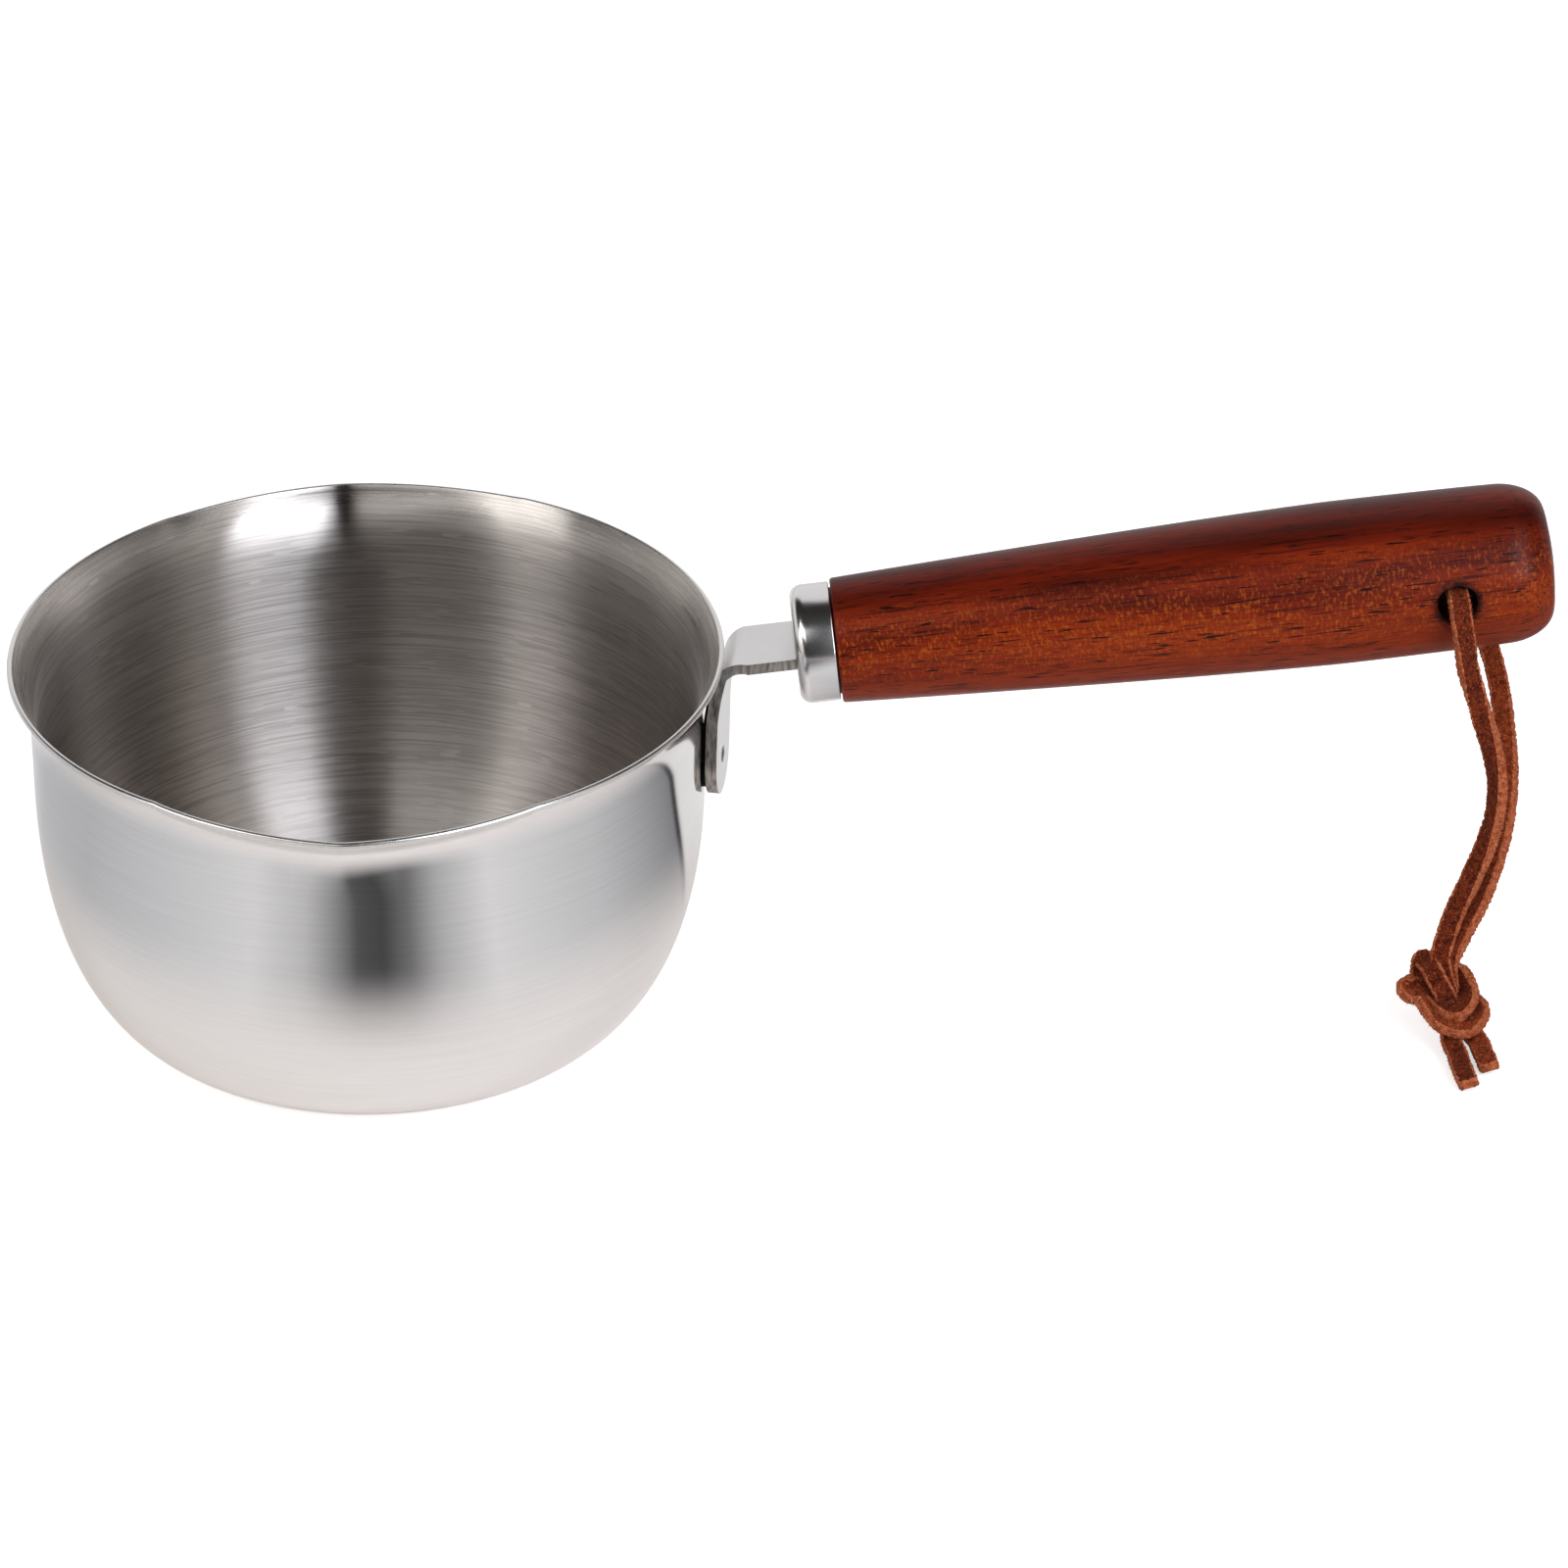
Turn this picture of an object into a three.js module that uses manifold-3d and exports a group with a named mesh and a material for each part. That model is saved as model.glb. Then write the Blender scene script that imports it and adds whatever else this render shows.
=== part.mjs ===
// A small steel saucepan with two pressed pour lips, a welded handle strap, a turned wooden grip in a steel
// ferrule, and a suede hanging thong tied through a cross hole near the end of the grip.
// Millimetres, +Z up. The origin is the centre of the base's underside, and the handle points along +X.
import * as THREE from "three";
import { mergeVertices } from "three/addons/utils/BufferGeometryUtils.js";
import Module from "manifold-3d";

// Pan: one drawn sheet with a flat base, a bowl-shaped lower wall and a flared rim.
const rimRadius = 62.5;
const wallRadius = 58.8;
const baseRadius = 35;
const panHeight = 69.8;
const shoulderHeight = 47.7;
const flareHeight = 11.4;
const sheetThickness = 1;
const bowlFullness = 2.3;

// Pour lips: on each side the flare is pressed out to a soft corner, over a short crease in the wall.
const lipAngleDeg = 94;
const lipSpreadDeg = 31;
const lipNoseDeg = 1;
const lipReach = 2.45;
const lipFlankPower = 1.22;
const lipDepth = 14;
const lipDroop = 1.05;
const creaseSpreadDeg = 9;
const creaseReach = 0.9;

// Strap: a flat strip, folded on a slightly skewed line into a tab that is spot-welded to the wall.
const strapWidth = 14;
const strapThickness = 2;
const bendRadius = 4;
const tabLength = 14;
const leanLength = 9;
const leanShare = 0.15;
const tabSkewDeg = 12;
const weldSeatGap = 0.45;
const weldDimpleRadius = 1.5;
const weldDimpleDepth = 0.4;
const tangWidth = 8;
const tangLength = 58;
const shoulderTaper = 1;

// Handle line: where the exposed wood starts, and how steeply the handle rises.
const gripStartX = 81.9;
const gripStartZ = 69.6;
const handleRiseDeg = 5.87;

// Grip: turned wood that swells towards the end, with a soft round end.
const gripLength = 125.7;
const gripFrontRadius = 10.95;
const gripBellyRadius = 14.25;
const gripBellyAt = 88;
const gripEndRadius = 13.8;
const gripTaperPower = 1.3;
const gripEndRunOut = 9;
const gripEndDrop = 5;
const gripEndCrown = 0.8;
const gripFrontChamfer = 0.5;
const tangBoreRadius = 5.3;
const tangBoreSpare = 4;

// Ferrule: a drawn steel cap over the grip's spigot.
const ferruleRadius = 10.45;
const ferruleLength = 7;
const ferruleWall = 0.8;
const ferruleNose = 2.2;
const spigotLength = 4.4;

// Cross hole for the thong, measured back from the grip's end and up from its axis.
const holeRadius = 3.5;
const holeFromEnd = 18.3;
const holeRise = 0.6;
const holeCountersink = 0.7;

// Thong: one suede strip through the hole, with both ends tied in an overhand knot that lies on the table.
const thongWidth = 3.5;
const thongThickness = 2;
const knotSpan = 15.5;
const knotDepth = 11;
const knotTiltDeg = 40;
const knotTurnDeg = 25;

const seatGap = 0.3;
const panSegments = 84;
const turnedSegments = 48;

const wasm = await Module();
wasm.setup();

const rad = THREE.MathUtils.degToRad;
const vec = (x, y, z) => new THREE.Vector3(x, y, z);
const handleRise = rad(handleRiseDeg);
const handleDirection = vec(Math.cos(handleRise), 0, Math.sin(handleRise));
const gripStart = vec(gripStartX, 0, gripStartZ);

// A closed geometry as a solid for cutting and joining.
function toSolid(geometry) {
  const bare = geometry.clone();
  bare.deleteAttribute("normal");
  bare.deleteAttribute("uv");
  const merged = mergeVertices(bare, 1e-4);
  return new wasm.Manifold(
    new wasm.Mesh({
      numProp: 3,
      vertProperties: new Float32Array(merged.attributes.position.array),
      triVerts: new Uint32Array(merged.index.array),
    }),
  );
}

// A solid back as a geometry.
function toGeometry(solid) {
  const mesh = solid.getMesh();
  const geometry = new THREE.BufferGeometry();
  geometry.setAttribute("position", new THREE.BufferAttribute(mesh.vertProperties, 3));
  geometry.setIndex(new THREE.BufferAttribute(mesh.triVerts, 1));
  geometry.computeVertexNormals();
  return geometry;
}

function namedMesh(name, geometry, color, roughness, metalness) {
  const mesh = new THREE.Mesh(geometry, new THREE.MeshStandardMaterial({ color, roughness, metalness }));
  mesh.name = name;
  return mesh;
}

// A closed skin over rows of points that each run once round the form, capped at both ends.
function loftRows(rows) {
  const count = rows[0].length;
  const positions = rows.flat().flatMap((p) => [p.x, p.y, p.z]);
  const index = [];
  for (let i = 0; i < rows.length - 1; i++) {
    for (let j = 0; j < count; j++) {
      const a = i * count + j;
      const b = i * count + ((j + 1) % count);
      index.push(a, b, b + count, a, b + count, a + count);
    }
  }
  const last = (rows.length - 1) * count;
  for (let j = 1; j < count - 1; j++) {
    index.push(0, j + 1, j);
    index.push(last, last + j, last + j + 1);
  }
  const geometry = new THREE.BufferGeometry();
  geometry.setAttribute("position", new THREE.Float32BufferAttribute(positions, 3));
  geometry.setIndex(index);
  return geometry;
}

// Outside of the pan from the base's edge to the rim, as points (radius, height).
function panOutside() {
  const points = [];
  const bowlSteps = 10;
  const flareSteps = 5;
  const swell = wallRadius - baseRadius;
  for (let i = 0; i <= bowlSteps; i++) {
    const t = ((i / bowlSteps) * Math.PI) / 2;
    const out = Math.sin(t) ** (2 / bowlFullness);
    const rise = 1 - Math.cos(t) ** (2 / bowlFullness);
    points.push(new THREE.Vector2(baseRadius + swell * out, shoulderHeight * rise));
  }
  const flareOut = rimRadius - wallRadius;
  const flareTurn = 2 * Math.atan(flareOut / flareHeight);
  const flareRadius = flareHeight / Math.sin(flareTurn);
  const flareStart = panHeight - flareHeight;
  for (let i = 0; i <= flareSteps; i++) {
    const turn = (i / flareSteps) * flareTurn;
    const out = flareRadius * (1 - Math.cos(turn));
    points.push(new THREE.Vector2(wallRadius + out, flareStart + flareRadius * Math.sin(turn)));
  }
  return points;
}

// The same line moved inwards by the sheet's thickness.
function panInside(outside) {
  return outside.map((point, i) => {
    const before = outside[Math.max(i - 1, 0)];
    const after = outside[Math.min(i + 1, outside.length - 1)];
    const along = after.clone().sub(before).normalize();
    const inward = i === 0 ? new THREE.Vector2(0, 1) : new THREE.Vector2(-along.y, along.x);
    return point.clone().addScaledVector(inward, sheetThickness);
  });
}

// Presses the two lips: the rim runs out along slightly hollow flanks to a soft corner, and the wall below it
// is creased in the middle.
function pressLips(point) {
  const radius = Math.hypot(point.x, point.y);
  const press = THREE.MathUtils.clamp((point.z - panHeight + lipDepth) / lipDepth, 0, 1);
  if (press === 0 || radius === 0) return point;
  const fromLip = Math.abs(Math.atan2(point.y, point.x)) - rad(lipAngleDeg);
  const softened = Math.hypot(fromLip, rad(lipNoseDeg));
  const share = Math.max(0, 1 - softened / rad(lipSpreadDeg)) ** lipFlankPower;
  const crease = Math.max(0, 1 - softened / rad(creaseSpreadDeg));
  const reach = lipReach * share * press ** 1.5 + creaseReach * crease * Math.sin(Math.PI * press);
  const out = 1 + reach / radius;
  return vec(point.x * out, point.y * out, point.z - lipDroop * Math.sqrt(share) * press ** 3);
}

function panBody() {
  const outside = panOutside();
  const inside = panInside(outside).reverse();
  const profile = [
    new THREE.Vector2(0, 0),
    ...outside,
    ...inside,
    new THREE.Vector2(0, sheetThickness),
  ];
  const lathe = new THREE.LatheGeometry(profile, panSegments);
  lathe.rotateX(Math.PI / 2);
  const position = lathe.attributes.position;
  const crowding = 0.45;
  for (let i = 0; i < position.count; i++) {
    const point = vec().fromBufferAttribute(position, i);
    // The segments crowd together at the lips, where the rim turns most.
    const turn = Math.atan2(point.y, point.x);
    point.applyAxisAngle(vec(0, 0, 1), (crowding / 2) * Math.sin(2 * turn));
    const pressed = pressLips(point);
    position.setXYZ(i, pressed.x, pressed.y, pressed.z);
  }
  return toGeometry(toSolid(lathe));
}

// Frame of a stretch of strip: x along it, y across it, z out of its upper face.
function stripFrame(along, across) {
  const out = along.clone().cross(across);
  const basis = new THREE.Matrix4().makeBasis(along, across, out);
  return new THREE.Quaternion().setFromRotationMatrix(basis);
}

// Sections of the strap from the tab's round tip, up the wall, round the bend and along the handle.
function strapSections() {
  const skew = rad(tabSkewDeg);
  const wallNormal = vec(Math.cos(skew), -Math.sin(skew), 0);
  const level = vec(Math.sin(skew), Math.cos(skew), 0);
  const tabUp = level.clone().multiplyScalar(Math.sin(skew)).add(vec(0, 0, Math.cos(skew)));
  const tabAcross = wallNormal.clone().cross(tabUp).negate();
  const tabFrame = stripFrame(tabUp, tabAcross);
  const armFrame = stripFrame(handleDirection, vec(0, 1, 0));
  const foldAngle = tabFrame.angleTo(armFrame);
  const bendLength = bendRadius * foldAngle * (1 - leanShare);

  // The tab first leans out to clear the flare, and then turns sharply into the arm.
  const bend = [];
  const bendEnd = vec(0, 0, 0);
  const turnThrough = (from, to, length, steps) => {
    for (let i = 0; i < steps; i++) {
      const share = from + ((to - from) * i) / steps;
      const halfway = share + (to - from) / steps / 2;
      bend.push({ at: bendEnd.clone(), frame: tabFrame.clone().slerp(armFrame, share) });
      bendEnd.add(vec(length / steps, 0, 0).applyQuaternion(tabFrame.clone().slerp(armFrame, halfway)));
    }
  };
  turnThrough(0, leanShare, leanLength, 4);
  turnThrough(leanShare, 1, bendLength, 10);

  // The tab's middle plane stands clear of the wall, and the arm runs along the handle's line.
  const planeOffset = wallRadius + weldSeatGap + strapThickness / 2;
  const slide =
    (planeOffset + wallNormal.dot(bendEnd) - wallNormal.dot(gripStart)) / wallNormal.dot(handleDirection);
  const armStart = gripStart.clone().addScaledVector(handleDirection, slide);
  const bendStart = armStart.clone().sub(bendEnd);

  const sections = [];
  const tipRadius = strapWidth / 2;
  const tipSteps = 7;
  for (let i = 1; i <= tipSteps; i++) {
    const turn = ((i / tipSteps) * Math.PI) / 2;
    const fromTip = tipRadius * (1 - Math.cos(turn));
    const at = bendStart.clone().addScaledVector(tabUp, fromTip - tabLength);
    sections.push({ at, frame: tabFrame, half: tipRadius * Math.sin(turn) });
  }
  for (const { at, frame } of bend) {
    sections.push({ at: at.add(bendStart), frame, half: tipRadius });
  }
  const alongArm = (x) => gripStart.clone().addScaledVector(handleDirection, x);
  const shoulderAt = -spigotLength - seatGap;
  sections.push({ at: armStart, frame: armFrame, half: tipRadius });
  sections.push({ at: alongArm(shoulderAt - shoulderTaper), frame: armFrame, half: tipRadius });
  sections.push({ at: alongArm(shoulderAt), frame: armFrame, half: tangWidth / 2 });
  sections.push({ at: alongArm(tangLength), frame: armFrame, half: tangWidth / 2 });
  const weld = bendStart.clone().addScaledVector(tabUp, tipRadius - tabLength);
  return { sections, weld, wallNormal };
}

function handleStrap() {
  const { sections, weld, wallNormal } = strapSections();
  const corners = [
    [-1, -1],
    [1, -1],
    [1, 1],
    [-1, 1],
  ];
  const rows = sections.map(({ at, frame, half }) =>
    corners.map(([across, out]) =>
      vec(0, across * half, (out * strapThickness) / 2).applyQuaternion(frame).add(at),
    ),
  );
  const strip = toSolid(loftRows(rows));
  // The spot weld leaves a shallow round dimple in the tab's outer face.
  const ball = (weldDimpleRadius ** 2 + weldDimpleDepth ** 2) / (2 * weldDimpleDepth);
  const electrode = new THREE.SphereGeometry(ball, 32, 24);
  const ballAt = weld.clone().addScaledVector(wallNormal, strapThickness / 2 + ball - weldDimpleDepth);
  electrode.translate(ballAt.x, ballAt.y, ballAt.z);
  return toGeometry(strip.subtract(toSolid(electrode)));
}

// A turned piece of the handle, with its axis along X.
function turned(profile) {
  const geometry = new THREE.LatheGeometry(profile, turnedSegments);
  geometry.rotateZ(-Math.PI / 2);
  geometry.rotateX(Math.PI / 2);
  return toSolid(geometry);
}

function boxAt(x0, x1, width, height) {
  const box = new THREE.BoxGeometry(x1 - x0, width, height);
  box.translate((x0 + x1) / 2, 0, 0);
  return toSolid(box);
}

function ferrule() {
  const front = -seatGap - ferruleLength;
  const back = -seatGap;
  const inner = ferruleRadius - ferruleWall;
  const innerNose = ferruleNose - ferruleWall;
  const noseSteps = 5;
  const profile = [new THREE.Vector2(0, front)];
  for (let i = 0; i <= noseSteps; i++) {
    const turn = ((i / noseSteps) * Math.PI) / 2;
    const radius = ferruleRadius - ferruleNose * (1 - Math.sin(turn));
    profile.push(new THREE.Vector2(radius, front + ferruleNose * (1 - Math.cos(turn))));
  }
  profile.push(new THREE.Vector2(ferruleRadius, back), new THREE.Vector2(inner, back));
  for (let i = noseSteps; i >= 0; i--) {
    const turn = ((i / noseSteps) * Math.PI) / 2;
    const radius = inner - innerNose * (1 - Math.sin(turn));
    profile.push(new THREE.Vector2(radius, front + ferruleWall + innerNose * (1 - Math.cos(turn))));
  }
  profile.push(new THREE.Vector2(0, front + ferruleWall));
  const slot = boxAt(
    front - ferruleWall,
    front + 2 * ferruleWall,
    strapWidth + 2 * seatGap,
    strapThickness + 2 * seatGap,
  );
  return toGeometry(turned(profile).subtract(slot));
}

// Radius of the exposed wood at a distance from its front end, before the end is rounded over.
function gripRadiusAt(x) {
  if (x < gripBellyAt) {
    const left = 1 - x / gripBellyAt;
    return gripBellyRadius - (gripBellyRadius - gripFrontRadius) * left ** gripTaperPower;
  }
  const past = (x - gripBellyAt) / (gripLength - gripBellyAt);
  return gripBellyRadius - (gripBellyRadius - gripEndRadius) * past ** 2;
}

function gripProfile() {
  const spigotRadius = ferruleRadius - ferruleWall - seatGap;
  const profile = [
    new THREE.Vector2(0, -spigotLength),
    new THREE.Vector2(spigotRadius, -spigotLength),
    new THREE.Vector2(spigotRadius, 0),
    new THREE.Vector2(gripFrontRadius - gripFrontChamfer, 0),
  ];
  const bodySteps = 12;
  const endSteps = 7;
  const roundFrom = gripLength - gripEndRunOut;
  for (let i = 0; i <= bodySteps; i++) {
    const x = gripFrontChamfer + ((roundFrom - gripFrontChamfer) * i) / bodySteps;
    profile.push(new THREE.Vector2(gripRadiusAt(x), x));
  }
  for (let i = 1; i <= endSteps; i++) {
    const turn = ((i / endSteps) * Math.PI) / 2;
    const x = roundFrom + (gripEndRunOut - gripEndCrown) * Math.sin(turn);
    profile.push(new THREE.Vector2(gripRadiusAt(x) - gripEndDrop * (1 - Math.cos(turn)), x));
  }
  profile.push(new THREE.Vector2(0, gripLength));
  return profile;
}

function handleGrip() {
  const boreDepth = tangLength + tangBoreSpare;
  const bore = new THREE.CylinderGeometry(tangBoreRadius, tangBoreRadius, boreDepth + 2 * spigotLength, 32);
  bore.rotateZ(Math.PI / 2);
  bore.translate(boreDepth / 2 - spigotLength, 0, 0);
  const reach = 2 * gripBellyRadius;
  const mouth = gripBellyRadius - holeCountersink;
  const flared = holeRadius + reach - mouth;
  const cutter = [
    new THREE.Vector2(0, -reach),
    new THREE.Vector2(flared, -reach),
    new THREE.Vector2(holeRadius, -mouth),
    new THREE.Vector2(holeRadius, mouth),
    new THREE.Vector2(flared, reach),
    new THREE.Vector2(0, reach),
  ];
  const hole = new THREE.LatheGeometry(cutter, 32);
  hole.translate(gripLength - holeFromEnd, 0, holeRise);
  return toGeometry(turned(gripProfile()).subtract(toSolid(bore)).subtract(toSolid(hole)));
}

// The resin that beds the tang in the grip's bore.
function tangResin() {
  const front = -spigotLength;
  const back = tangLength + tangBoreSpare - seatGap;
  const plugRadius = tangBoreRadius - seatGap;
  const plug = new THREE.CylinderGeometry(plugRadius, plugRadius, back - front, 32);
  plug.rotateZ(Math.PI / 2);
  plug.translate((front + back) / 2, 0, 0);
  const tang = boxAt(
    front - shoulderTaper,
    tangLength + seatGap,
    tangWidth + 2 * seatGap,
    strapThickness + 2 * seatGap,
  );
  return toGeometry(toSolid(plug).subtract(tang));
}

const holeCentre = gripStart
  .clone()
  .addScaledVector(handleDirection, gripLength - holeFromEnd)
  .add(vec(-Math.sin(handleRise), 0, Math.cos(handleRise)).multiplyScalar(holeRise));

// A suede strip along a smooth path, lying flat across the given direction, with its corners taken off.
function suedeStrip(path, steps, across) {
  const t = thongThickness / 2;
  const w = thongWidth / 2;
  const corner = 0.3 * thongThickness;
  const section = [
    [w - corner, -t],
    [w, -t + corner],
    [w, t - corner],
    [w - corner, t],
    [-w + corner, t],
    [-w, t - corner],
    [-w, -t + corner],
    [-w + corner, -t],
  ];
  const rows = [];
  for (let i = 0; i <= steps; i++) {
    const at = path.getPointAt(i / steps);
    const along = path.getTangentAt(i / steps);
    const side = across.clone().addScaledVector(along, -across.dot(along)).normalize();
    const out = along.clone().cross(side);
    rows.push(section.map(([u, v]) => at.clone().addScaledVector(side, u).addScaledVector(out, v)));
  }
  return toSolid(loftRows(rows));
}

// Route of the loop, from the knot up the front strand, through the hole and down the back strand.
const thongRoute = [
  [187.4, -20, 14.6],
  [190.3, -19.8, 23],
  [192.6, -19.4, 28.7],
  [194.8, -19, 34.8],
  [196.4, -18.5, 41.2],
  [196.6, -18.2, 47.6],
  [195.6, -18, 53.7],
  [193.6, -17.7, 60.1],
  [191.6, -17.4, 66.5],
  [190.3, -17.5, 71],
  [189.6, -17.9, 75.5],
  [188.95, -17.2, 79.6],
  [188.75, -14.4, 82.1],
  [188.7, -8, 82.75],
  [188.7, 0, 82.75],
  [188.7, 8, 82.75],
  [188.8, 14.4, 82.1],
  [189.3, 17.2, 79.6],
  [190.6, 17.9, 75.5],
  [193.6, 17.3, 69],
  [197, 16.2, 62.4],
  [199.4, 13.6, 56.6],
  [200.6, 9, 51.8],
  [201, 2.5, 46.6],
  [200.8, -4.5, 41],
  [199.5, -10.5, 35],
  [197.3, -14.8, 28.8],
  [194.9, -17.4, 23.4],
  [192.0, -19.4, 15.4],
].map(([x, y, z]) => vec(x, y, z));

function thongLoop() {
  const path = new THREE.CatmullRomCurve3(thongRoute, false, "centripetal");
  return toGeometry(suedeStrip(path, 64, vec(1, 0, 0)));
}

const knotCentre = vec(188.9, -23.6, 8.9);
const thongTails = [
  [
    [189.6, -25, 5],
    [189.4, -30, 2.4],
    [189.7, -36, 1.5],
    [190.3, -43.4, 1.4],
  ],
  [
    [191.4, -24, 5],
    [193.2, -29, 2.4],
    [194.2, -34, 1.5],
    [195, -38.6, 1.4],
  ],
].map((tail) => new THREE.CatmullRomCurve3(tail.map(([x, y, z]) => vec(x, y, z))));

// The overhand knot: the strip on a trefoil path, wound flat and drawn up tight, with its two cut ends.
function thongKnot() {
  const swing = (knotSpan / 2 - thongThickness / 2) / 3;
  const lift = knotDepth / 2 - thongWidth / 2;
  const tilt = new THREE.Euler(rad(knotTiltDeg), 0, rad(knotTurnDeg));
  const trefoil = (t) =>
    vec(
      swing * (2 + Math.cos(3 * t)) * Math.cos(2 * t),
      swing * (2 + Math.cos(3 * t)) * Math.sin(2 * t),
      lift * Math.sin(3 * t),
    )
      .applyEuler(tilt)
      .add(knotCentre);
  const windingAxis = vec(0, 0, 1).applyEuler(tilt);
  const pieces = 9;
  const steps = 5;
  const overlap = 0.25;
  const strips = thongTails.map((tail) => suedeStrip(tail, 6, vec(1, 0, 0)));
  for (let i = 0; i < pieces; i++) {
    const points = [];
    for (let j = 0; j <= steps; j++) {
      points.push(trefoil(((i + ((1 + overlap) * j) / steps) / pieces) * 2 * Math.PI));
    }
    strips.push(suedeStrip(new THREE.CatmullRomCurve3(points), steps, windingAxis));
  }
  return toGeometry(strips.reduce((knot, strip) => knot.add(strip)));
}

const pan = new THREE.Group();
pan.add(namedMesh("pan_body", panBody(), 0xc9c9c9, 0.25, 1));
pan.add(namedMesh("handle_strap", handleStrap(), 0xbdbdc0, 0.35, 1));

const handle = new THREE.Group();
handle.position.copy(gripStart);
handle.rotation.y = -handleRise;
handle.add(namedMesh("ferrule", ferrule(), 0xc4c4c6, 0.3, 1));
handle.add(namedMesh("handle_grip", handleGrip(), 0x7a2410, 0.35, 0));
handle.add(namedMesh("tang_resin", tangResin(), 0xd8c9a0, 0.5, 0));
pan.add(handle);

const thong = new THREE.Group();
thong.add(namedMesh("thong_loop", thongLoop(), 0x7d3a1a, 0.95, 0));
thong.add(namedMesh("thong_knot", thongKnot(), 0x7d3a1a, 0.95, 0));
pan.add(thong);

console.log("hole centre", holeCentre.toArray().map((v) => v.toFixed(2)).join(" "));

export default pan;
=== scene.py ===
"""Looks of a small steel saucepan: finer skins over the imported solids, finishes, thong, studio and camera.

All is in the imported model's frame: metres, +Z up, the base's centre at the origin and the handle along +X.
Sizes are written in millimetres, as on a drawing, and `mm` turns them to metres.
"""
from __future__ import annotations

import logging
import math
from collections.abc import Callable, Sequence
from dataclasses import dataclass
from enum import Enum, IntEnum
from functools import partial

import bpy
import numpy as np
from mathutils import Matrix, Quaternion, Vector


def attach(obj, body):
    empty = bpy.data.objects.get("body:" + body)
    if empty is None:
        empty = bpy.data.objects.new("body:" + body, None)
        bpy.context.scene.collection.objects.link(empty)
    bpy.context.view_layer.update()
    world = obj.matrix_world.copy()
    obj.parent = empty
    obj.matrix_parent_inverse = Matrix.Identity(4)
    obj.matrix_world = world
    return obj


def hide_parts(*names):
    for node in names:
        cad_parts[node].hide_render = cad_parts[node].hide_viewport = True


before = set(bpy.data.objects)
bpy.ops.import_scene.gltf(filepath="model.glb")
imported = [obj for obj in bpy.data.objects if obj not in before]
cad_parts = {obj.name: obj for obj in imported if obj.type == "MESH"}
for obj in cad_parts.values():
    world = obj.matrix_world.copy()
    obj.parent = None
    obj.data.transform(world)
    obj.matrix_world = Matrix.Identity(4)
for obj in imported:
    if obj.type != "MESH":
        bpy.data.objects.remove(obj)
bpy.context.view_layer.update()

log = logging.getLogger("saucepan")

Material = bpy.types.Material
Node = bpy.types.Node
Piece = bpy.types.Object
Socket = bpy.types.NodeSocket
Tree = bpy.types.NodeTree
Add = Callable[..., Node]
Pair = tuple[float, float]
Triple = tuple[float, float, float]
Faces = list[tuple[int, ...]]
Route = list[tuple[float, ...]]

# Attribute of a turned mesh: the length along its section, in metres.
PROFILE = "profile"

# Settings of nodes that mix two colours or rise in a soft slope, and a mixing node's two colour inputs.
COLOURS = {"data_type": "RGBA"}
SOFT = {"interpolation_type": "SMOOTHSTEP"}
FIRST, SECOND = 6, 7
WHITE = "#ffffff"


def mm(size: float) -> float:
    """Millimetres as metres."""
    return size / 1000


def per_mm(size: float) -> float:
    """Texture scale whose cells are that many millimetres, for coordinates in metres."""
    return 1 / mm(size)


def linear(colour: str) -> tuple[float, float, float, float]:
    """An sRGB hex colour as linear RGBA.

    Args:
        colour: Six hex digits after a hash sign.

    Returns:
        Linear red, green and blue, and an alpha of 1.
    """
    parts = [int(colour[i : i + 2], 16) / 255 for i in (1, 3, 5)]
    red, green, blue = (p / 12.92 if p <= 0.04045 else ((p + 0.055) / 1.055) ** 2.4 for p in parts)
    return red, green, blue, 1.0


def add_node(
    tree: Tree, kind: str, settings: dict | str | None = None, inputs: dict | None = None
) -> Node:
    """Adds a shader node with its settings, values and links.

    Args:
        tree: Node tree that the node goes into.
        kind: Node type, without the leading "ShaderNode".
        settings: Values of the node's own properties, or its operation alone. "stops" are a ramp's places
            and sRGB hex colours.
        inputs: For each input, by name or number, a value to set, or a socket or node to link. A node is
            linked by the first output that it has in use. "From" and "To" are pairs of limits.

    Returns:
        The new node.
    """
    node = tree.nodes.new("ShaderNode" + kind)
    if isinstance(settings, str):
        settings = {"operation": settings}
    for name, value in (settings or {}).items():
        if name != "stops":
            setattr(node, name, value)
            continue
        elements = node.color_ramp.elements
        while len(elements) < len(value):
            elements.new(1.0)
        for element, (place, colour) in zip(elements, value):
            element.position = place
            element.color = linear(colour)
    values = dict(inputs or {})
    for limits in ("From", "To"):
        if limits in values:
            values[limits + " Min"], values[limits + " Max"] = values.pop(limits)
    for key, value in values.items():
        if isinstance(value, Node):
            value = next(output for output in value.outputs if output.enabled)
        if isinstance(value, Socket):
            tree.links.new(value, node.inputs[key])
        else:
            node.inputs[key].default_value = value
    return node


def new_material(name: str) -> tuple[Material, Add]:
    """A material with an empty node tree.

    Args:
        name: What the material is and how its surface was made.

    Returns:
        The material, and the function that adds a node to it.
    """
    material = bpy.data.materials.new(name)
    material.use_nodes = True
    material.node_tree.nodes.clear()
    return material, partial(add_node, material.node_tree)


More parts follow.
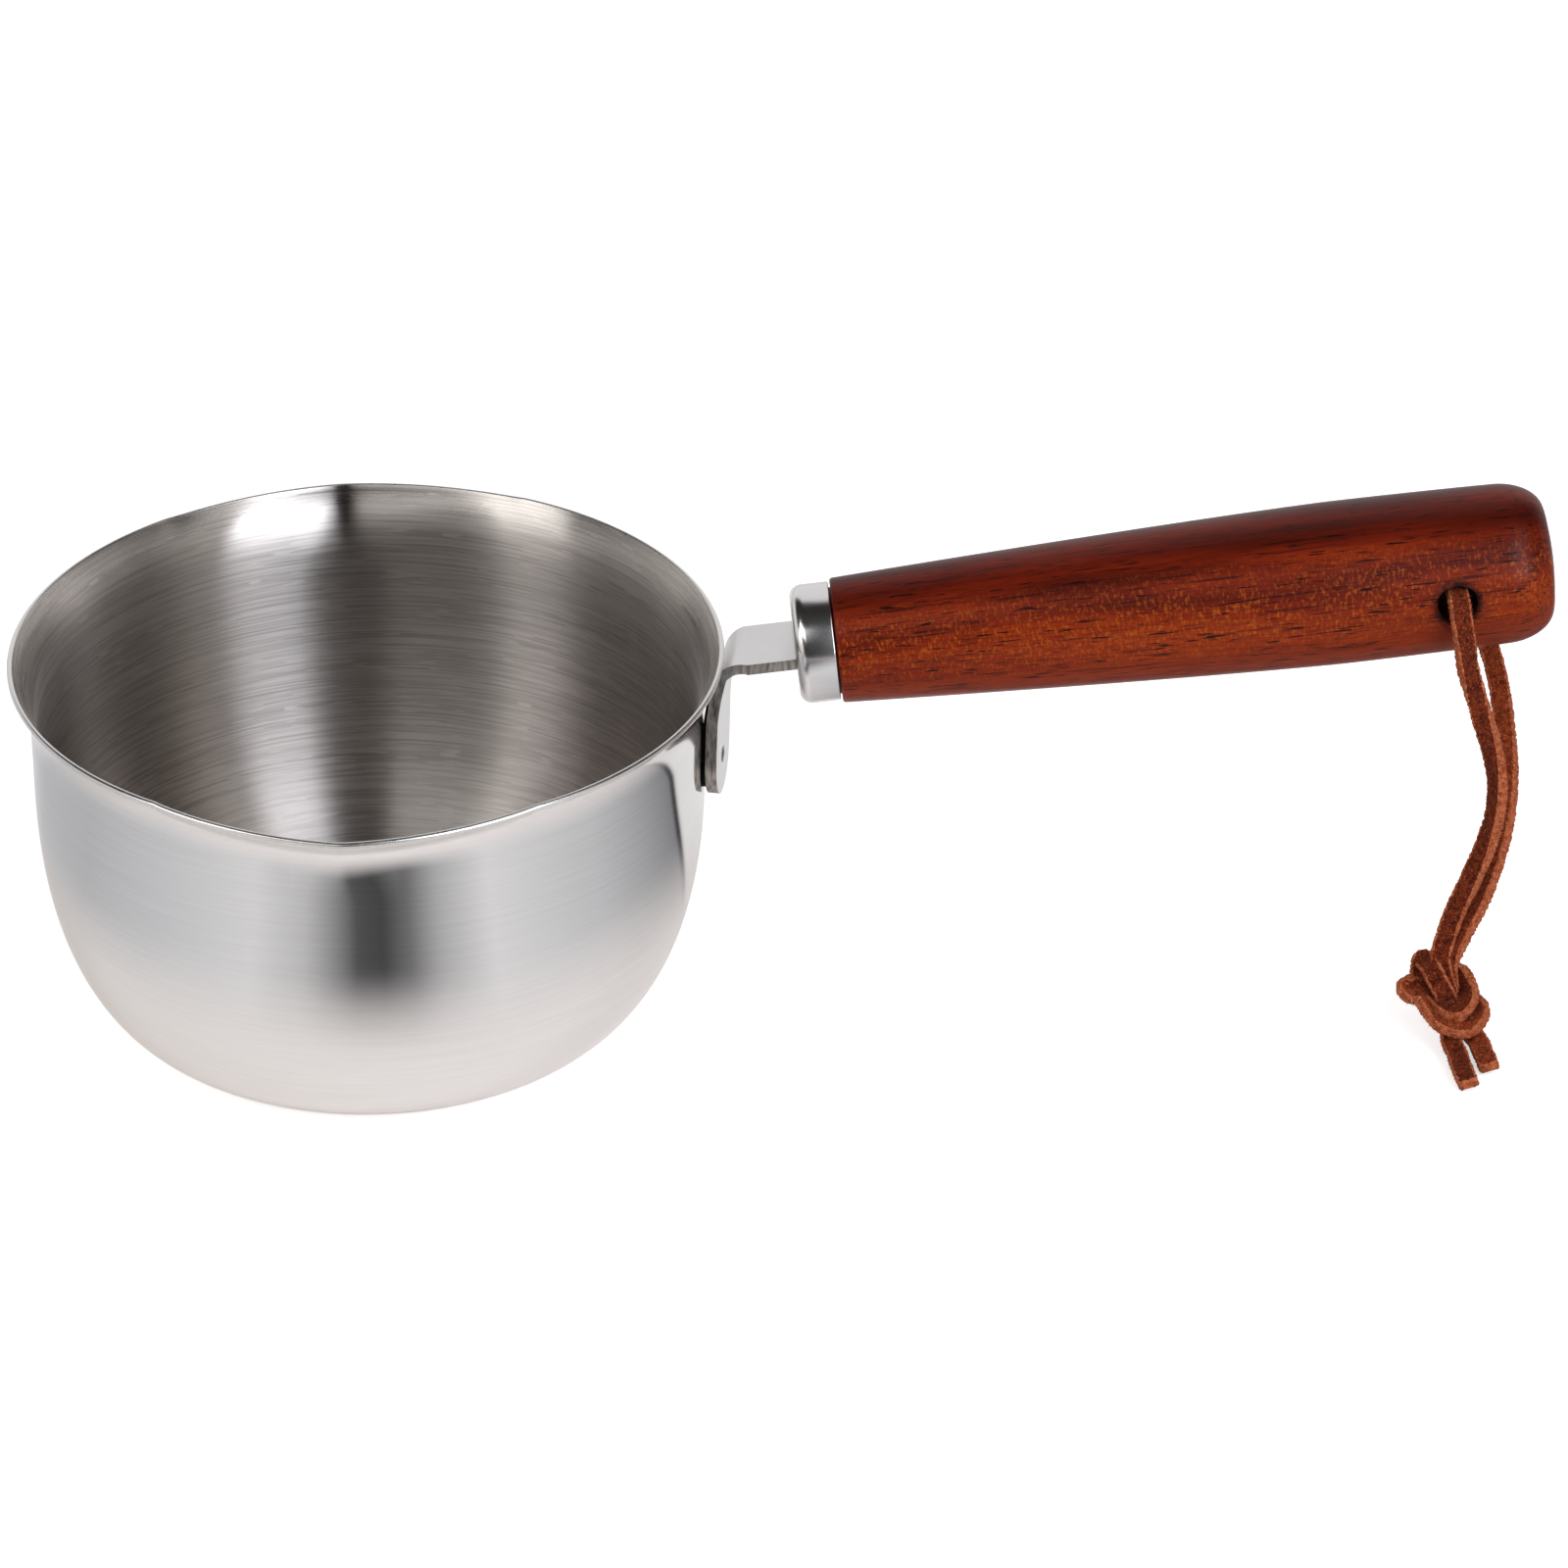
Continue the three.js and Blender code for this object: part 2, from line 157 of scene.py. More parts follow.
def new_piece(
    name: str, points: Sequence, faces: Sequence, materials: Sequence = (), which: Sequence[int] = ()
) -> Piece:
    """A smooth mesh object.

    Args:
        name: The piece's name.
        points: Vertex places in millimetres.
        faces: Vertex numbers of each face, anticlockwise from outside.
        materials: The piece's materials.
        which: Material number of each face, the first material where it is empty.

    Returns:
        The object, linked to the scene.
    """
    mesh = bpy.data.meshes.new(name)
    mesh.from_pydata([tuple(p * mm(1)) for p in points], [], [tuple(f) for f in faces])
    for material in materials:
        mesh.materials.append(material)
    if len(which):
        mesh.polygons.foreach_set("material_index", list(which))
    mesh.polygons.foreach_set("use_smooth", [True] * len(mesh.polygons))
    mesh.update()
    piece = bpy.data.objects.new(name, mesh)
    bpy.context.scene.collection.objects.link(piece)
    return piece


def apply_modifiers(piece: Piece) -> None:
    """Puts the result of a piece's modifiers into its mesh.

    Args:
        piece: The piece, which keeps no modifier.
    """
    evaluated = piece.evaluated_get(bpy.context.evaluated_depsgraph_get())
    mesh = bpy.data.meshes.new_from_object(evaluated)
    piece.modifiers.clear()
    piece.data = mesh


def cut(piece: Piece, cutter: Piece) -> None:
    """Cuts a closed solid out of a piece.

    Args:
        piece: What is cut.
        cutter: The closed solid, which is deleted.
    """
    boolean = piece.modifiers.new("cut", "BOOLEAN")
    boolean.operation = "DIFFERENCE"
    boolean.solver = "EXACT"
    boolean.object = cutter
    apply_modifiers(piece)
    bpy.data.objects.remove(cutter)


def crisp(piece: Piece, degrees: float) -> None:
    """Shades a piece smooth, except across edges that turn more than an angle."""
    piece.data.set_sharp_from_angle(angle=math.radians(degrees))


def even_turns(count: int) -> list[float]:
    """Angles of a whole turn in even steps, in radians."""
    return [2 * math.pi * j / count for j in range(count)]


def turned_points(profile: Sequence[Pair], turns: Sequence[float]) -> list[Vector]:
    """Points of a turned piece round the Z axis.

    Args:
        profile: Radius and height from the first pole to the second, whose radii are 0.
        turns: Angles of the points of each ring.

    Returns:
        The first pole, the rings and the second pole.
    """
    points = [Vector((0, 0, profile[0][1]))]
    for radius, height in profile[1:-1]:
        points.extend(Vector((radius * math.cos(t), radius * math.sin(t), height)) for t in turns)
    points.append(Vector((0, 0, profile[-1][1])))
    return points


def ring_faces(rings: int, count: int, first: int = 0) -> Faces:
    """Faces between closed rings of points.

    Args:
        rings: Number of rings.
        count: Points in each ring.
        first: Number of the first point.

    Returns:
        Faces, ring by ring.
    """
    faces: Faces = []
    for start in range(first, first + (rings - 1) * count, count):
        for j in range(count):
            a, b = start + j, start + (j + 1) % count
            faces.append((a, b, b + count, a + count))
    return faces


def turned_faces(rings: int, count: int) -> Faces:
    """Faces over rings of points that run from one pole to the other.

    Args:
        rings: Number of rings between the two poles.
        count: Points in each ring.

    Returns:
        Faces, with the first pole as point 0 and the second as the last point.
    """
    last = 1 + rings * count
    start = last - count
    first_cap = [(0, 1 + (j + 1) % count, 1 + j) for j in range(count)]
    last_cap = [(start + j, start + (j + 1) % count, last) for j in range(count)]
    return first_cap + ring_faces(rings, count, first=1) + last_cap


def turned_piece(name: str, profile: Sequence[Pair], count: int, material: Material) -> Piece:
    """A piece turned round the X axis.

    Args:
        name: The piece's name.
        profile: Radius and distance along X, from pole to pole, in millimetres.
        count: Points in each ring.
        material: Its material.

    Returns:
        The piece.
    """
    points = [Vector((p.z, p.y, -p.x)) for p in turned_points(profile, even_turns(count))]
    return new_piece(name, points, turned_faces(len(profile) - 2, count), [material])


def arc(centre: Pair, radius: float, start: float, end: float, steps: int) -> list[Pair]:
    """Points of an arc.

    Args:
        centre: Middle of the circle.
        radius: Its radius.
        start: First angle in degrees.
        end: Last angle in degrees.
        steps: Number of steps.

    Returns:
        The points, both ends among them.
    """
    turns = [math.radians(start + (end - start) * i / steps) for i in range(steps + 1)]
    return [(centre[0] + radius * math.cos(t), centre[1] + radius * math.sin(t)) for t in turns]


def ring_noise(add: Add, width: float, turn_deg: float, detail: float) -> Node:
    """Noise drawn out along the rings of a turned mesh that has the profile attribute.

    Args:
        add: Adds a node to the material.
        width: Width of a line across the ring, in millimetres.
        turn_deg: Length of a line, in degrees of turn.
        detail: Octaves of the noise.

    Returns:
        The noise, from 0 to 1.
    """
    place = add("TexCoord").outputs["Object"]
    flat = add("VectorMath", "MULTIPLY", {0: place, 1: (1, 1, 0)})
    turn = add("VectorMath", "NORMALIZE", {0: flat})
    ring = add("VectorMath", "SCALE", {0: turn, "Scale": 1 / math.radians(turn_deg)})
    profile = add("Attribute", {"attribute_name": PROFILE}).outputs["Fac"]
    across = add("Math", "MULTIPLY", {0: profile, 1: per_mm(width)})
    lift = add("CombineXYZ", inputs={"Z": across})
    where = add("VectorMath", "ADD", {0: ring, 1: lift})
    return add("TexNoise", inputs={"Vector": where, "Scale": 1.0, "Detail": detail})


def cell_noise(add: Add, size: Triple, detail: float) -> Node:
    """Noise in the object's own space.

    Args:
        add: Adds a node to the material.
        size: Length of a cell along x, y and z, in millimetres.
        detail: Octaves of the noise.

    Returns:
        The noise, from 0 to 1.
    """
    place = add("TexCoord").outputs["Object"]
    scaled = add("VectorMath", "MULTIPLY", {0: place, 1: tuple(per_mm(s) for s in size)})
    return add("TexNoise", inputs={"Vector": scaled, "Scale": 1.0, "Detail": detail})


@dataclass(frozen=True)
class Finish:
    """A material, named for what it really is and how its surface was made."""

    name: str

    def make(self) -> Material:
        """Makes the material.

        Returns:
            The material, with the finish's shader as its surface.
        """
        material, add = new_material(self.name)
        add("OutputMaterial", inputs={"Surface": self.shade(add)})
        return material

    def shade(self, add: Add) -> Node:
        """Makes the shader, which each kind of finish has its own way to do."""
        raise NotImplementedError


@dataclass(frozen=True)
class RingSteel(Finish):
    """Stainless steel sheet, worked in rings on a lathe: reflections smear into bands across the lines."""

    bright: str
    dark: str
    roughness: Pair
    anisotropic: float
    # A real line is about 0.1 mm wide, which is less than a pixel, so the lines are drawn wider.
    line_width: float
    line_depth: float
    line_turn_deg: float = 24
    line_tones: Pair = (0.32, 0.62)
    scratch_width: float = 0.45
    scratch_turn_deg: float = 6
    scratches: Pair = (0.66, 0.72)
    # Heights between which the wall runs into the flare, and the share of the roughness that the flare has.
    flare: Pair = (58, 68)
    flare_share: float = 1
    # Heights of the wall's foot and upper part, and the brightness of each as a share of the flare's, which
    # is painted light and shade on the wall.
    wall: Pair = (12, 50)
    painted_wall_tones: Pair = (1, 1)
    # A quarter turn lays the smear of a reflection across the lines.
    smear_turn: float = 0.25

    def shade(self, add: Add) -> Node:
        """Lines along the rings of the mesh, single scratches, and a flare that is smoother than the wall.

        Args:
            add: Adds a node to the material.

        Returns:
            The shader.
        """
        lines = ring_noise(add, self.line_width, self.line_turn_deg, detail=3)
        scratch = add("MapRange", inputs={
            "Value": ring_noise(add, self.scratch_width, self.scratch_turn_deg, detail=0),
            "From": self.scratches,
        })
        tones = list(zip(self.line_tones, (self.dark, self.bright)))
        brushed = add("ValToRGB", {"stops": tones}, {"Fac": lines})
        colour = add("Mix", COLOURS, {"Factor": scratch, FIRST: brushed, SECOND: linear(self.bright)})
        place = add("TexCoord").outputs["Object"]
        level = add("SeparateXYZ", inputs={"Vector": place}).outputs["Z"]
        flared = add("MapRange", SOFT, {"Value": level, "From": [mm(h) for h in self.flare]})
        # Painted light and shade: the wall's brightness by height.
        wall = add("MapRange", inputs={
            "Value": level, "From": [mm(h) for h in self.wall], "To": self.painted_wall_tones,
        })
        tone = add("MapRange", inputs={"Value": flared, "To": (wall, 1.0)})
        rough = add("MapRange", inputs={"Value": lines, "To": self.roughness})
        share = add("MapRange", inputs={"Value": flared, "To": (1.0, self.flare_share)})
        height = add("Math", "ADD", {0: lines, 1: scratch})
        return add("BsdfPrincipled", inputs={
            "Base Color": add("VectorMath", "SCALE", {0: colour, "Scale": tone}),
            "Metallic": 1.0,
            "Roughness": add("Math", "MULTIPLY", {0: rough, 1: share}),
            "Anisotropic": self.anisotropic,
            "Anisotropic Rotation": self.smear_turn,
            "Tangent": add("Tangent", {"direction_type": "RADIAL", "axis": "Z"}),
            "Normal": add("Bump", inputs={"Height": height, "Distance": mm(self.line_depth)}),
        })


# The inside is left as it was brushed: wide bands of light and dark run down the wall.
# Its wall has painted light at the foot and painted shade higher up.
INSIDE_STEEL = RingSteel(
    name="stainless_steel_ring_brushed", bright="#c6c0bb", dark="#aaa39e", roughness=(0.33, 0.45),
    anisotropic=1.0, line_width=0.36, line_depth=0.005, flare_share=0.7, painted_wall_tones=(1.24, 0.92),
)

# The outside is buffed after that: soft, clear reflections with a trace of the lines.
OUTSIDE_STEEL = RingSteel(
    name="stainless_steel_buffed_satin", bright="#e0dedd", dark="#dcdad9", roughness=(0.08, 0.11),
    anisotropic=0.2, line_width=0.6, line_depth=0.0001, scratches=(0.78, 0.84),
)


@dataclass(frozen=True)
class SatinSteel(Finish):
    """Stainless steel with an even satin gloss: soft reflections and faint handling marks."""

    colour: str
    roughness: Pair
    mark_size: float = 3

    def shade(self, add: Add) -> Node:
        """Plain steel whose roughness varies a little.

        Args:
            add: Adds a node to the material.

        Returns:
            The shader.
        """
        marks = cell_noise(add, (self.mark_size,) * 3, detail=3)
        rough = add("MapRange", inputs={"Value": marks, "To": self.roughness})
        return add("BsdfPrincipled", inputs={
            "Base Color": linear(self.colour), "Metallic": 1.0, "Roughness": rough,
        })


# A spot weld is dull and grey. The slit behind the tab is closed by a near-black sheet of painted shade.
WELD_SPOT = SatinSteel("stainless_steel_weld_spot", colour="#77726f", roughness=(0.5, 0.6))
SLIT_SHADE = SatinSteel("stainless_steel_slit_painted_shade", colour="#1c1817", roughness=(0.6, 0.8))

# The cut rim is only deburred, the strap has the mill's dull gloss and the drawn ferrule is the smoothest.
RIM_STEEL = SatinSteel("stainless_steel_rim_deburred", colour="#dedbd8", roughness=(0.22, 0.34))
STRAP_STEEL = SatinSteel("stainless_steel_cold_rolled", colour="#dcdad9", roughness=(0.3, 0.4))
FERRULE_STEEL = SatinSteel("stainless_steel_drawn_satin", colour="#dcdad9", roughness=(0.18, 0.23))


@dataclass(frozen=True)
class Blotched(Finish):
    """A finish that is mottled between two colours: epoxy as it was cast, or steel as it was sheared."""

    dark: str
    bright: str
    roughness: float
    metallic: float
    # Noise values that get the two colours, and the size of a blotch.
    tones: Pair
    size: Triple
    detail: float
    depth: float = 0

    def shade(self, add: Add) -> Node:
        """Blotches, which lie in relief where they have a depth.

        Args:
            add: Adds a node to the material.

        Returns:
            The shader.
        """
        blotches = cell_noise(add, self.size, self.detail)
        stops = list(zip(self.tones, (self.dark, self.bright)))
        inputs = {
            "Base Color": add("ValToRGB", {"stops": stops}, {"Fac": blotches}),
            "Metallic": self.metallic,
            "Roughness": self.roughness,
        }
        if self.depth:
            bump = add("Bump", inputs={"Height": blotches, "Distance": mm(self.depth)})
            inputs["Normal"] = bump
        return add("BsdfPrincipled", inputs=inputs)


# Shears leave a torn, dull edge with darker patches than the rolled face, and drag marks across the strip.
SHEARED_STEEL = Blotched(
    "stainless_steel_sheared_edge", dark="#625a55", bright="#aaa49e", roughness=0.36, metallic=1.0,
    tones=(0.3, 0.65), size=(0.7, 0.7, 5), detail=3, depth=0.02,
)

# Epoxy round the tang sets to a dull amber filling, which only shows when the handle comes apart.
CAST_EPOXY = Blotched(
    "epoxy_cast", dark="#a98f57", bright="#cbb787", roughness=0.5, metallic=0.0,
    tones=(0.35, 0.65), size=(4, 4, 4), detail=2,
)


@dataclass(frozen=True)
class GrainMark:
    """A kind of mark in the wood: its colour, its size along and across the grain in millimetres, the noise's
    detail, the noise values at which it starts and is full, and its strength.
    """

    colour: str
    size: Pair
    detail: float
    span: Pair
    strength: float = 1

    def share(self, add: Add) -> Node:
        """How much of the mark there is.

        Args:
            add: Adds a node to the material.

        Returns:
            0 between the marks, and their strength on them.
        """
        length, width = self.size
        return add("MapRange", inputs={
            "Value": cell_noise(add, (length, width, width), self.detail),
            "From": self.span, "To Max": self.strength,
        })


MAROON = "#380902"
# Brown of the pores, which also paints the shade round the hole.
PORE_AND_SHADE_BROWN = "#240603"
GOLD_FLECKS = GrainMark("#a85010", size=(0.5, 0.9), detail=2, span=(0.5, 0.72))
DARK_FIBRES = GrainMark(MAROON, size=(3.5, 0.35), detail=2, span=(0.45, 0.75), strength=0.55)
DARK_STREAKS = GrainMark(PORE_AND_SHADE_BROWN, size=(34, 0.55), detail=3, span=(0.58, 0.68), strength=0.7)
OPEN_PORES = GrainMark(PORE_AND_SHADE_BROWN, size=(6, 0.42), detail=1, span=(0.65, 0.7))


@dataclass(frozen=True)
class StainedWood(Finish):
    """Red-stained hardwood under thin satin lacquer, with dark pores along the grain and gold flecks."""

    hole_at: Triple
    hole_radius: float
    # Tones of the stain from its darkest to its palest.
    stain: tuple[tuple[float, str], ...] = (
        (0.15, MAROON), (0.5, "#5e1503"), (0.72, "#741f04"), (1.0, "#862b04"),
    )
    figure_size: Triple = (55, 5, 5)
    figure_strength: float = 1.5
    # Painted shade: the wood is darker on top than below.
    shade_by_height: float = -0.38
    shade_level: float = 0.06
    # Angle above the front that the wood has to face for flecks to show, and how squarely: the flecks are
    # real, and showing them only there paints their shimmer.
    shimmer_face_deg: float = 15
    shimmer_face_span: Pair = (0.75, 1.1)
    # The drill leaves a torn ring round the hole, which is painted darker as shade round the hole's mouth.
    torn_size: Triple = (1.4, 1.4, 0.7)
    torn_depth: float = 3
    torn_margin: float = 1.5
    torn_width: float = 1.6
    roughness: float = 0.45
    specular: float = 0.05
    coat: float = 0.36
    coat_roughness: float = 0.3
    coat_ior: float = 1.3
    pore_depth: float = 0.08

    def over(self, add: Add, base: Node, colour: str, share: Node) -> Node:
        """A colour laid over another by a share."""
        return add("Mix", COLOURS, {"Factor": share, FIRST: base, SECOND: linear(colour)})

    def shade(self, add: Add) -> Node:
        """Stain with painted shade on top, marks with a painted shimmer on the flecks, and the torn ring
        round the hole with painted shade, with the grain along the object's own X axis.

        Args:
            add: Adds a node to the material.

        Returns:
            The shader.
        """
        place = add("TexCoord").outputs["Object"]
        flat = add("VectorMath", "MULTIPLY", {0: place, 1: (0, 1, 1)})
        out = add("VectorMath", "NORMALIZE", {0: flat})
        upward = add("SeparateXYZ", inputs={"Vector": out}).outputs["Z"]
        # Painted shade: darker on top.
        lit = add("Math", "MULTIPLY_ADD", {0: upward, 1: self.shade_by_height, 2: self.shade_level})
        figure = cell_noise(add, self.figure_size, detail=4)
        tone = add("Math", "MULTIPLY_ADD", {0: figure, 1: self.figure_strength, 2: lit})
        colour = add("ValToRGB", {"stops": self.stain}, {"Fac": tone})

        # Painted shimmer: the gold flecks show only where the wood faces the front.
        facing = math.radians(self.shimmer_face_deg)
        square = add("VectorMath", "DOT_PRODUCT", {0: out, 1: (0, -math.cos(facing), math.sin(facing))})
        face = add("MapRange", inputs={
            "Value": add("Math", "ABSOLUTE", {0: square}),
            "From": self.shimmer_face_span,
        })
        shimmering_flecks = add("Math", "MULTIPLY", {0: GOLD_FLECKS.share(add), 1: face})
        colour = self.over(add, colour, GOLD_FLECKS.colour, shimmering_flecks)
        for mark in (DARK_FIBRES, DARK_STREAKS):
            colour = self.over(add, colour, mark.colour, mark.share(add))
        pores = OPEN_PORES.share(add)
        colour = self.over(add, colour, OPEN_PORES.colour, pores)

        # A torn ring round the hole, painted dark as shade round its mouth.
        hole = tuple(mm(v) for v in self.hole_at)
        from_hole = add("VectorMath", "SUBTRACT", {0: place, 1: hole})
        level = add("VectorMath", "MULTIPLY", {0: from_hole, 1: (1, 0, 1)})
        distance = add("VectorMath", "LENGTH", {0: level})
        torn = add("Math", "MULTIPLY_ADD", {
            0: cell_noise(add, self.torn_size, detail=3), 1: mm(self.torn_depth), 2: distance,
        })
        ring = self.hole_radius + self.torn_margin
        torn_grain_and_shade = add("MapRange", inputs={"Value": torn, "From": (mm(ring + self.torn_width), mm(ring))})
        bump = add("Bump", {"invert": True}, {"Height": pores, "Distance": mm(self.pore_depth)})
        return add("BsdfPrincipled", inputs={
            "Base Color": self.over(add, colour, PORE_AND_SHADE_BROWN, torn_grain_and_shade),
            "Roughness": self.roughness,
            "Specular IOR Level": self.specular,
            "Coat Weight": self.coat,
            "Coat Roughness": self.coat_roughness,
            "Coat IOR": self.coat_ior,
            "Normal": bump,
        })


@dataclass(frozen=True)
class Suede(Finish):
    """Split leather with a raised nap: no gloss, mottled, with single pale fibres."""

    dark: str
    light: str
    fibre: str
    nap_size: float = 0.9
    nap_tones: Pair = (0.36, 0.64)
    nap_depth: float = 0.15
    fibre_size: float = 0.28
    fibre_span: Pair = (0.56, 0.72)
    fibre_strength: float = 0.75
    roughness: float = 0.95
    specular: float = 0.1
    sheen: float = 0.12
    sheen_roughness: float = 0.5
    sheen_tint: str = "#d9a27a"

    def shade(self, add: Add) -> Node:
        """Mottled nap with pale fibres in it.

        Args:
            add: Adds a node to the material.

        Returns:
            The shader.
        """
        nap = cell_noise(add, (self.nap_size,) * 3, detail=4)
        fibres = cell_noise(add, (self.fibre_size,) * 3, detail=2)
        stops = list(zip(self.nap_tones, (self.dark, self.light)))
        mottled = add("ValToRGB", {"stops": stops}, {"Fac": nap})
        pale = add("MapRange", inputs={
            "Value": fibres, "From": self.fibre_span, "To Max": self.fibre_strength,
        })
        height = add("Math", "ADD", {0: nap, 1: fibres})
        return add("BsdfPrincipled", inputs={
            "Base Color": add(
                "Mix", COLOURS, {"Factor": pale, FIRST: mottled, SECOND: linear(self.fibre)}
            ),
            "Roughness": self.roughness,
            "Specular IOR Level": self.specular,
            "Sheen Weight": self.sheen,
            "Sheen Roughness": self.sheen_roughness,
            "Sheen Tint": linear(self.sheen_tint),
            "Normal": add("Bump", inputs={"Height": height, "Distance": mm(self.nap_depth)}),
        })


# The front strand's suede is darker and the back strand's paler: partly the leather's dyed face and flesh
# side, partly painted shade and painted light. The cut edges are paler, partly as cut and partly painted
# light.
SUEDE_FACE_SHADED = Suede("suede_brown_dyed_face_painted_shade", "#3c0e04", "#6c260e", "#a45c3e")
SUEDE_FLESH_LIT = Suede("suede_brown_flesh_side_painted_light", "#581a08", "#883818", "#b8704e")
SUEDE_EDGE_LIT = Suede("suede_brown_cut_edge_painted_light", "#86381c", "#b4623c", "#dba080")


class PanFace(IntEnum):
    """Which face of the sheet a stretch of the pan's section is, and its material number."""

    OUTSIDE = 0
    EDGE = 1
    INSIDE = 2


@dataclass
class PanBowl:
    """The drawn pan: flat base, bowl-shaped wall, flared rim and two pressed pour lips. Millimetres."""

    rim_radius: float = 62.5
    wall_radius: float = 58.8
    base_radius: float = 35
    height: float = 69.8
    shoulder_height: float = 47.7
    flare_height: float = 11.4
    sheet: float = 1
    fullness: float = 2.3
    lip_angle_deg: float = 94
    lip_spread_deg: float = 31
    lip_nose_deg: float = 1
    lip_reach: float = 2.45
    lip_flank_power: float = 1.22
    lip_depth: float = 14
    lip_rise_power: float = 2.4
    lip_droop: float = 1.05
    lip_droop_power: int = 3
    crease_spread_deg: float = 9
    crease_reach: float = 0.5
    edge_radius: float = 0.42

    def turns(self) -> list[float]:
        """Angles of the points of each ring, closer together at the lips.

        Returns:
            The angles in radians, from -180 degrees.
        """
        coarse = 1.0
        fine = 0.25
        degrees = -180.0
        turns = []
        while degrees < 180 - coarse / 2:
            turns.append(math.radians(degrees))
            near_lip = abs(abs(degrees + coarse / 2) - self.lip_angle_deg) < self.crease_spread_deg
            degrees += fine if near_lip else coarse
        return turns

    def outside(self) -> list[Vector]:
        """Outer line from the base's edge to the rim.

        Returns:
            Points of radius and height.
        """
        bowl_steps = 56
        wall_steps = 6
        flare_steps = 28
        power = 2 / self.fullness
        swell = self.wall_radius - self.base_radius
        points = []
        for i in range(bowl_steps + 1):
            turn = math.pi / 2 * i / bowl_steps
            out = math.sin(turn) ** power
            rise = 1 - max(math.cos(turn), 0) ** power
            points.append(Vector((self.base_radius + swell * out, self.shoulder_height * rise)))
        flare_start = self.height - self.flare_height
        for i in range(1, wall_steps):
            height = self.shoulder_height + (flare_start - self.shoulder_height) * i / wall_steps
            points.append(Vector((self.wall_radius, height)))
        flare_turn = 2 * math.atan((self.rim_radius - self.wall_radius) / self.flare_height)
        flare_radius = self.flare_height / math.sin(flare_turn)
        for i in range(flare_steps + 1):
            turn = flare_turn * i / flare_steps
            out = self.wall_radius + flare_radius * (1 - math.cos(turn))
            points.append(Vector((out, flare_start + flare_radius * math.sin(turn))))
        return points

    def section(self) -> list[tuple[Vector, PanFace]]:
        """Section of the sheet, from the middle of the base's underside round the rim to the middle inside.

        Returns:
            Points of radius and height, each with the face of the sheet that it lies on.
        """
        outer = self.outside()
        inward = []
        for i in range(len(outer)):
            along = (outer[min(i + 1, len(outer) - 1)] - outer[max(i - 1, 0)]).normalized()
            inward.append(Vector((-along.y, along.x)))
        inward[0] = Vector((0, 1))
        inner = [p + n * self.sheet for p, n in zip(outer, inward)]

        # The cut edge at the rim has its two corners rounded.
        across = inward[-1]
        along = Vector((across.y, -across.x))
        outer[-1] = outer[-1] - along * self.edge_radius
        inner[-1] = inner[-1] - along * self.edge_radius
        corner_steps = 5
        edge = []
        for corner, side in ((outer[-1], 1), (inner[-1], -1)):
            centre = corner + across * self.edge_radius * side
            steps = range(corner_steps + 1)
            for i in steps if side == 1 else reversed(steps):
                swing = math.pi / 2 * i / corner_steps
                offset = along * math.sin(swing) - across * side * math.cos(swing)
                edge.append(centre + offset * self.edge_radius)

        base_steps = 6
        base_rings = [self.base_radius * i / base_steps for i in range(base_steps)]
        section = [(Vector((r, 0)), PanFace.OUTSIDE) for r in base_rings]
        section += [(p, PanFace.OUTSIDE) for p in outer]
        section += [(p, PanFace.EDGE) for p in edge[1:-1]]
        section += [(p, PanFace.INSIDE) for p in reversed(inner)]
        section += [(Vector((r, self.sheet)), PanFace.INSIDE) for r in reversed(base_rings)]
        return section

    def press_lips(self, points: np.ndarray) -> np.ndarray:
        """Runs the rim out on hollow flanks to a soft corner at each lip, and creases the wall below it.

        Args:
            points: Places in millimetres, one to a row.

        Returns:
            The pressed places.
        """
        press = np.clip((points[:, 2] - self.height + self.lip_depth) / self.lip_depth, 0, 1)
        from_lip = np.degrees(np.abs(np.arctan2(points[:, 1], points[:, 0]))) - self.lip_angle_deg
        softened = np.hypot(from_lip, self.lip_nose_deg)
        share = np.clip(1 - softened / self.lip_spread_deg, 0, None) ** self.lip_flank_power
        crease = np.clip(1 - softened / self.crease_spread_deg, 0, None)
        lip = self.lip_reach * share * press**self.lip_rise_power
        reach = lip + self.crease_reach * crease * np.sin(np.pi * press)
        radius = np.maximum(np.hypot(points[:, 0], points[:, 1]), self.sheet)
        pressed = points.copy()
        pressed[:, :2] *= (1 + reach / radius)[:, None]
        pressed[:, 2] -= self.lip_droop * np.sqrt(share) * press**self.lip_droop_power
        return pressed

    def build(self) -> Piece:
        """Makes the pan with its three faces and the length along its section as an attribute.

        Returns:
            The pan.
        """
        section = self.section()
        turns = self.turns()
        count = len(turns)
        points = np.array(turned_points([tuple(p) for p, _ in section], turns))
        faces = turned_faces(len(section) - 2, count)
        sides = [face for _, face in section]
        bands = [a if a == b else PanFace.EDGE for a, b in zip(sides, sides[1:])]
        which = [band for band in bands for _ in range(count)]
        materials = [OUTSIDE_STEEL.make(), RIM_STEEL.make(), INSIDE_STEEL.make()]
        pan = new_piece("pan_drawn_steel", self.press_lips(points), faces, materials, which)

        lengths = [0.0]
        for (a, _), (b, _) in zip(section, section[1:]):
            lengths.append(lengths[-1] + mm((b - a).length))
        per_point = [lengths[0]] + [x for x in lengths[1:-1] for _ in range(count)] + [lengths[-1]]
        pan.data.attributes.new(PROFILE, "FLOAT", "POINT").data.foreach_set("value", per_point)
        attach(pan, "pan")
        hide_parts("pan_body")
        return pan


def strip_frame(along: Vector, across: Vector) -> Quaternion:
    """Frame of a stretch of strip: x along it, y across it, z out of its upper face."""
    return Matrix((along, across, along.cross(across))).transposed().to_quaternion()


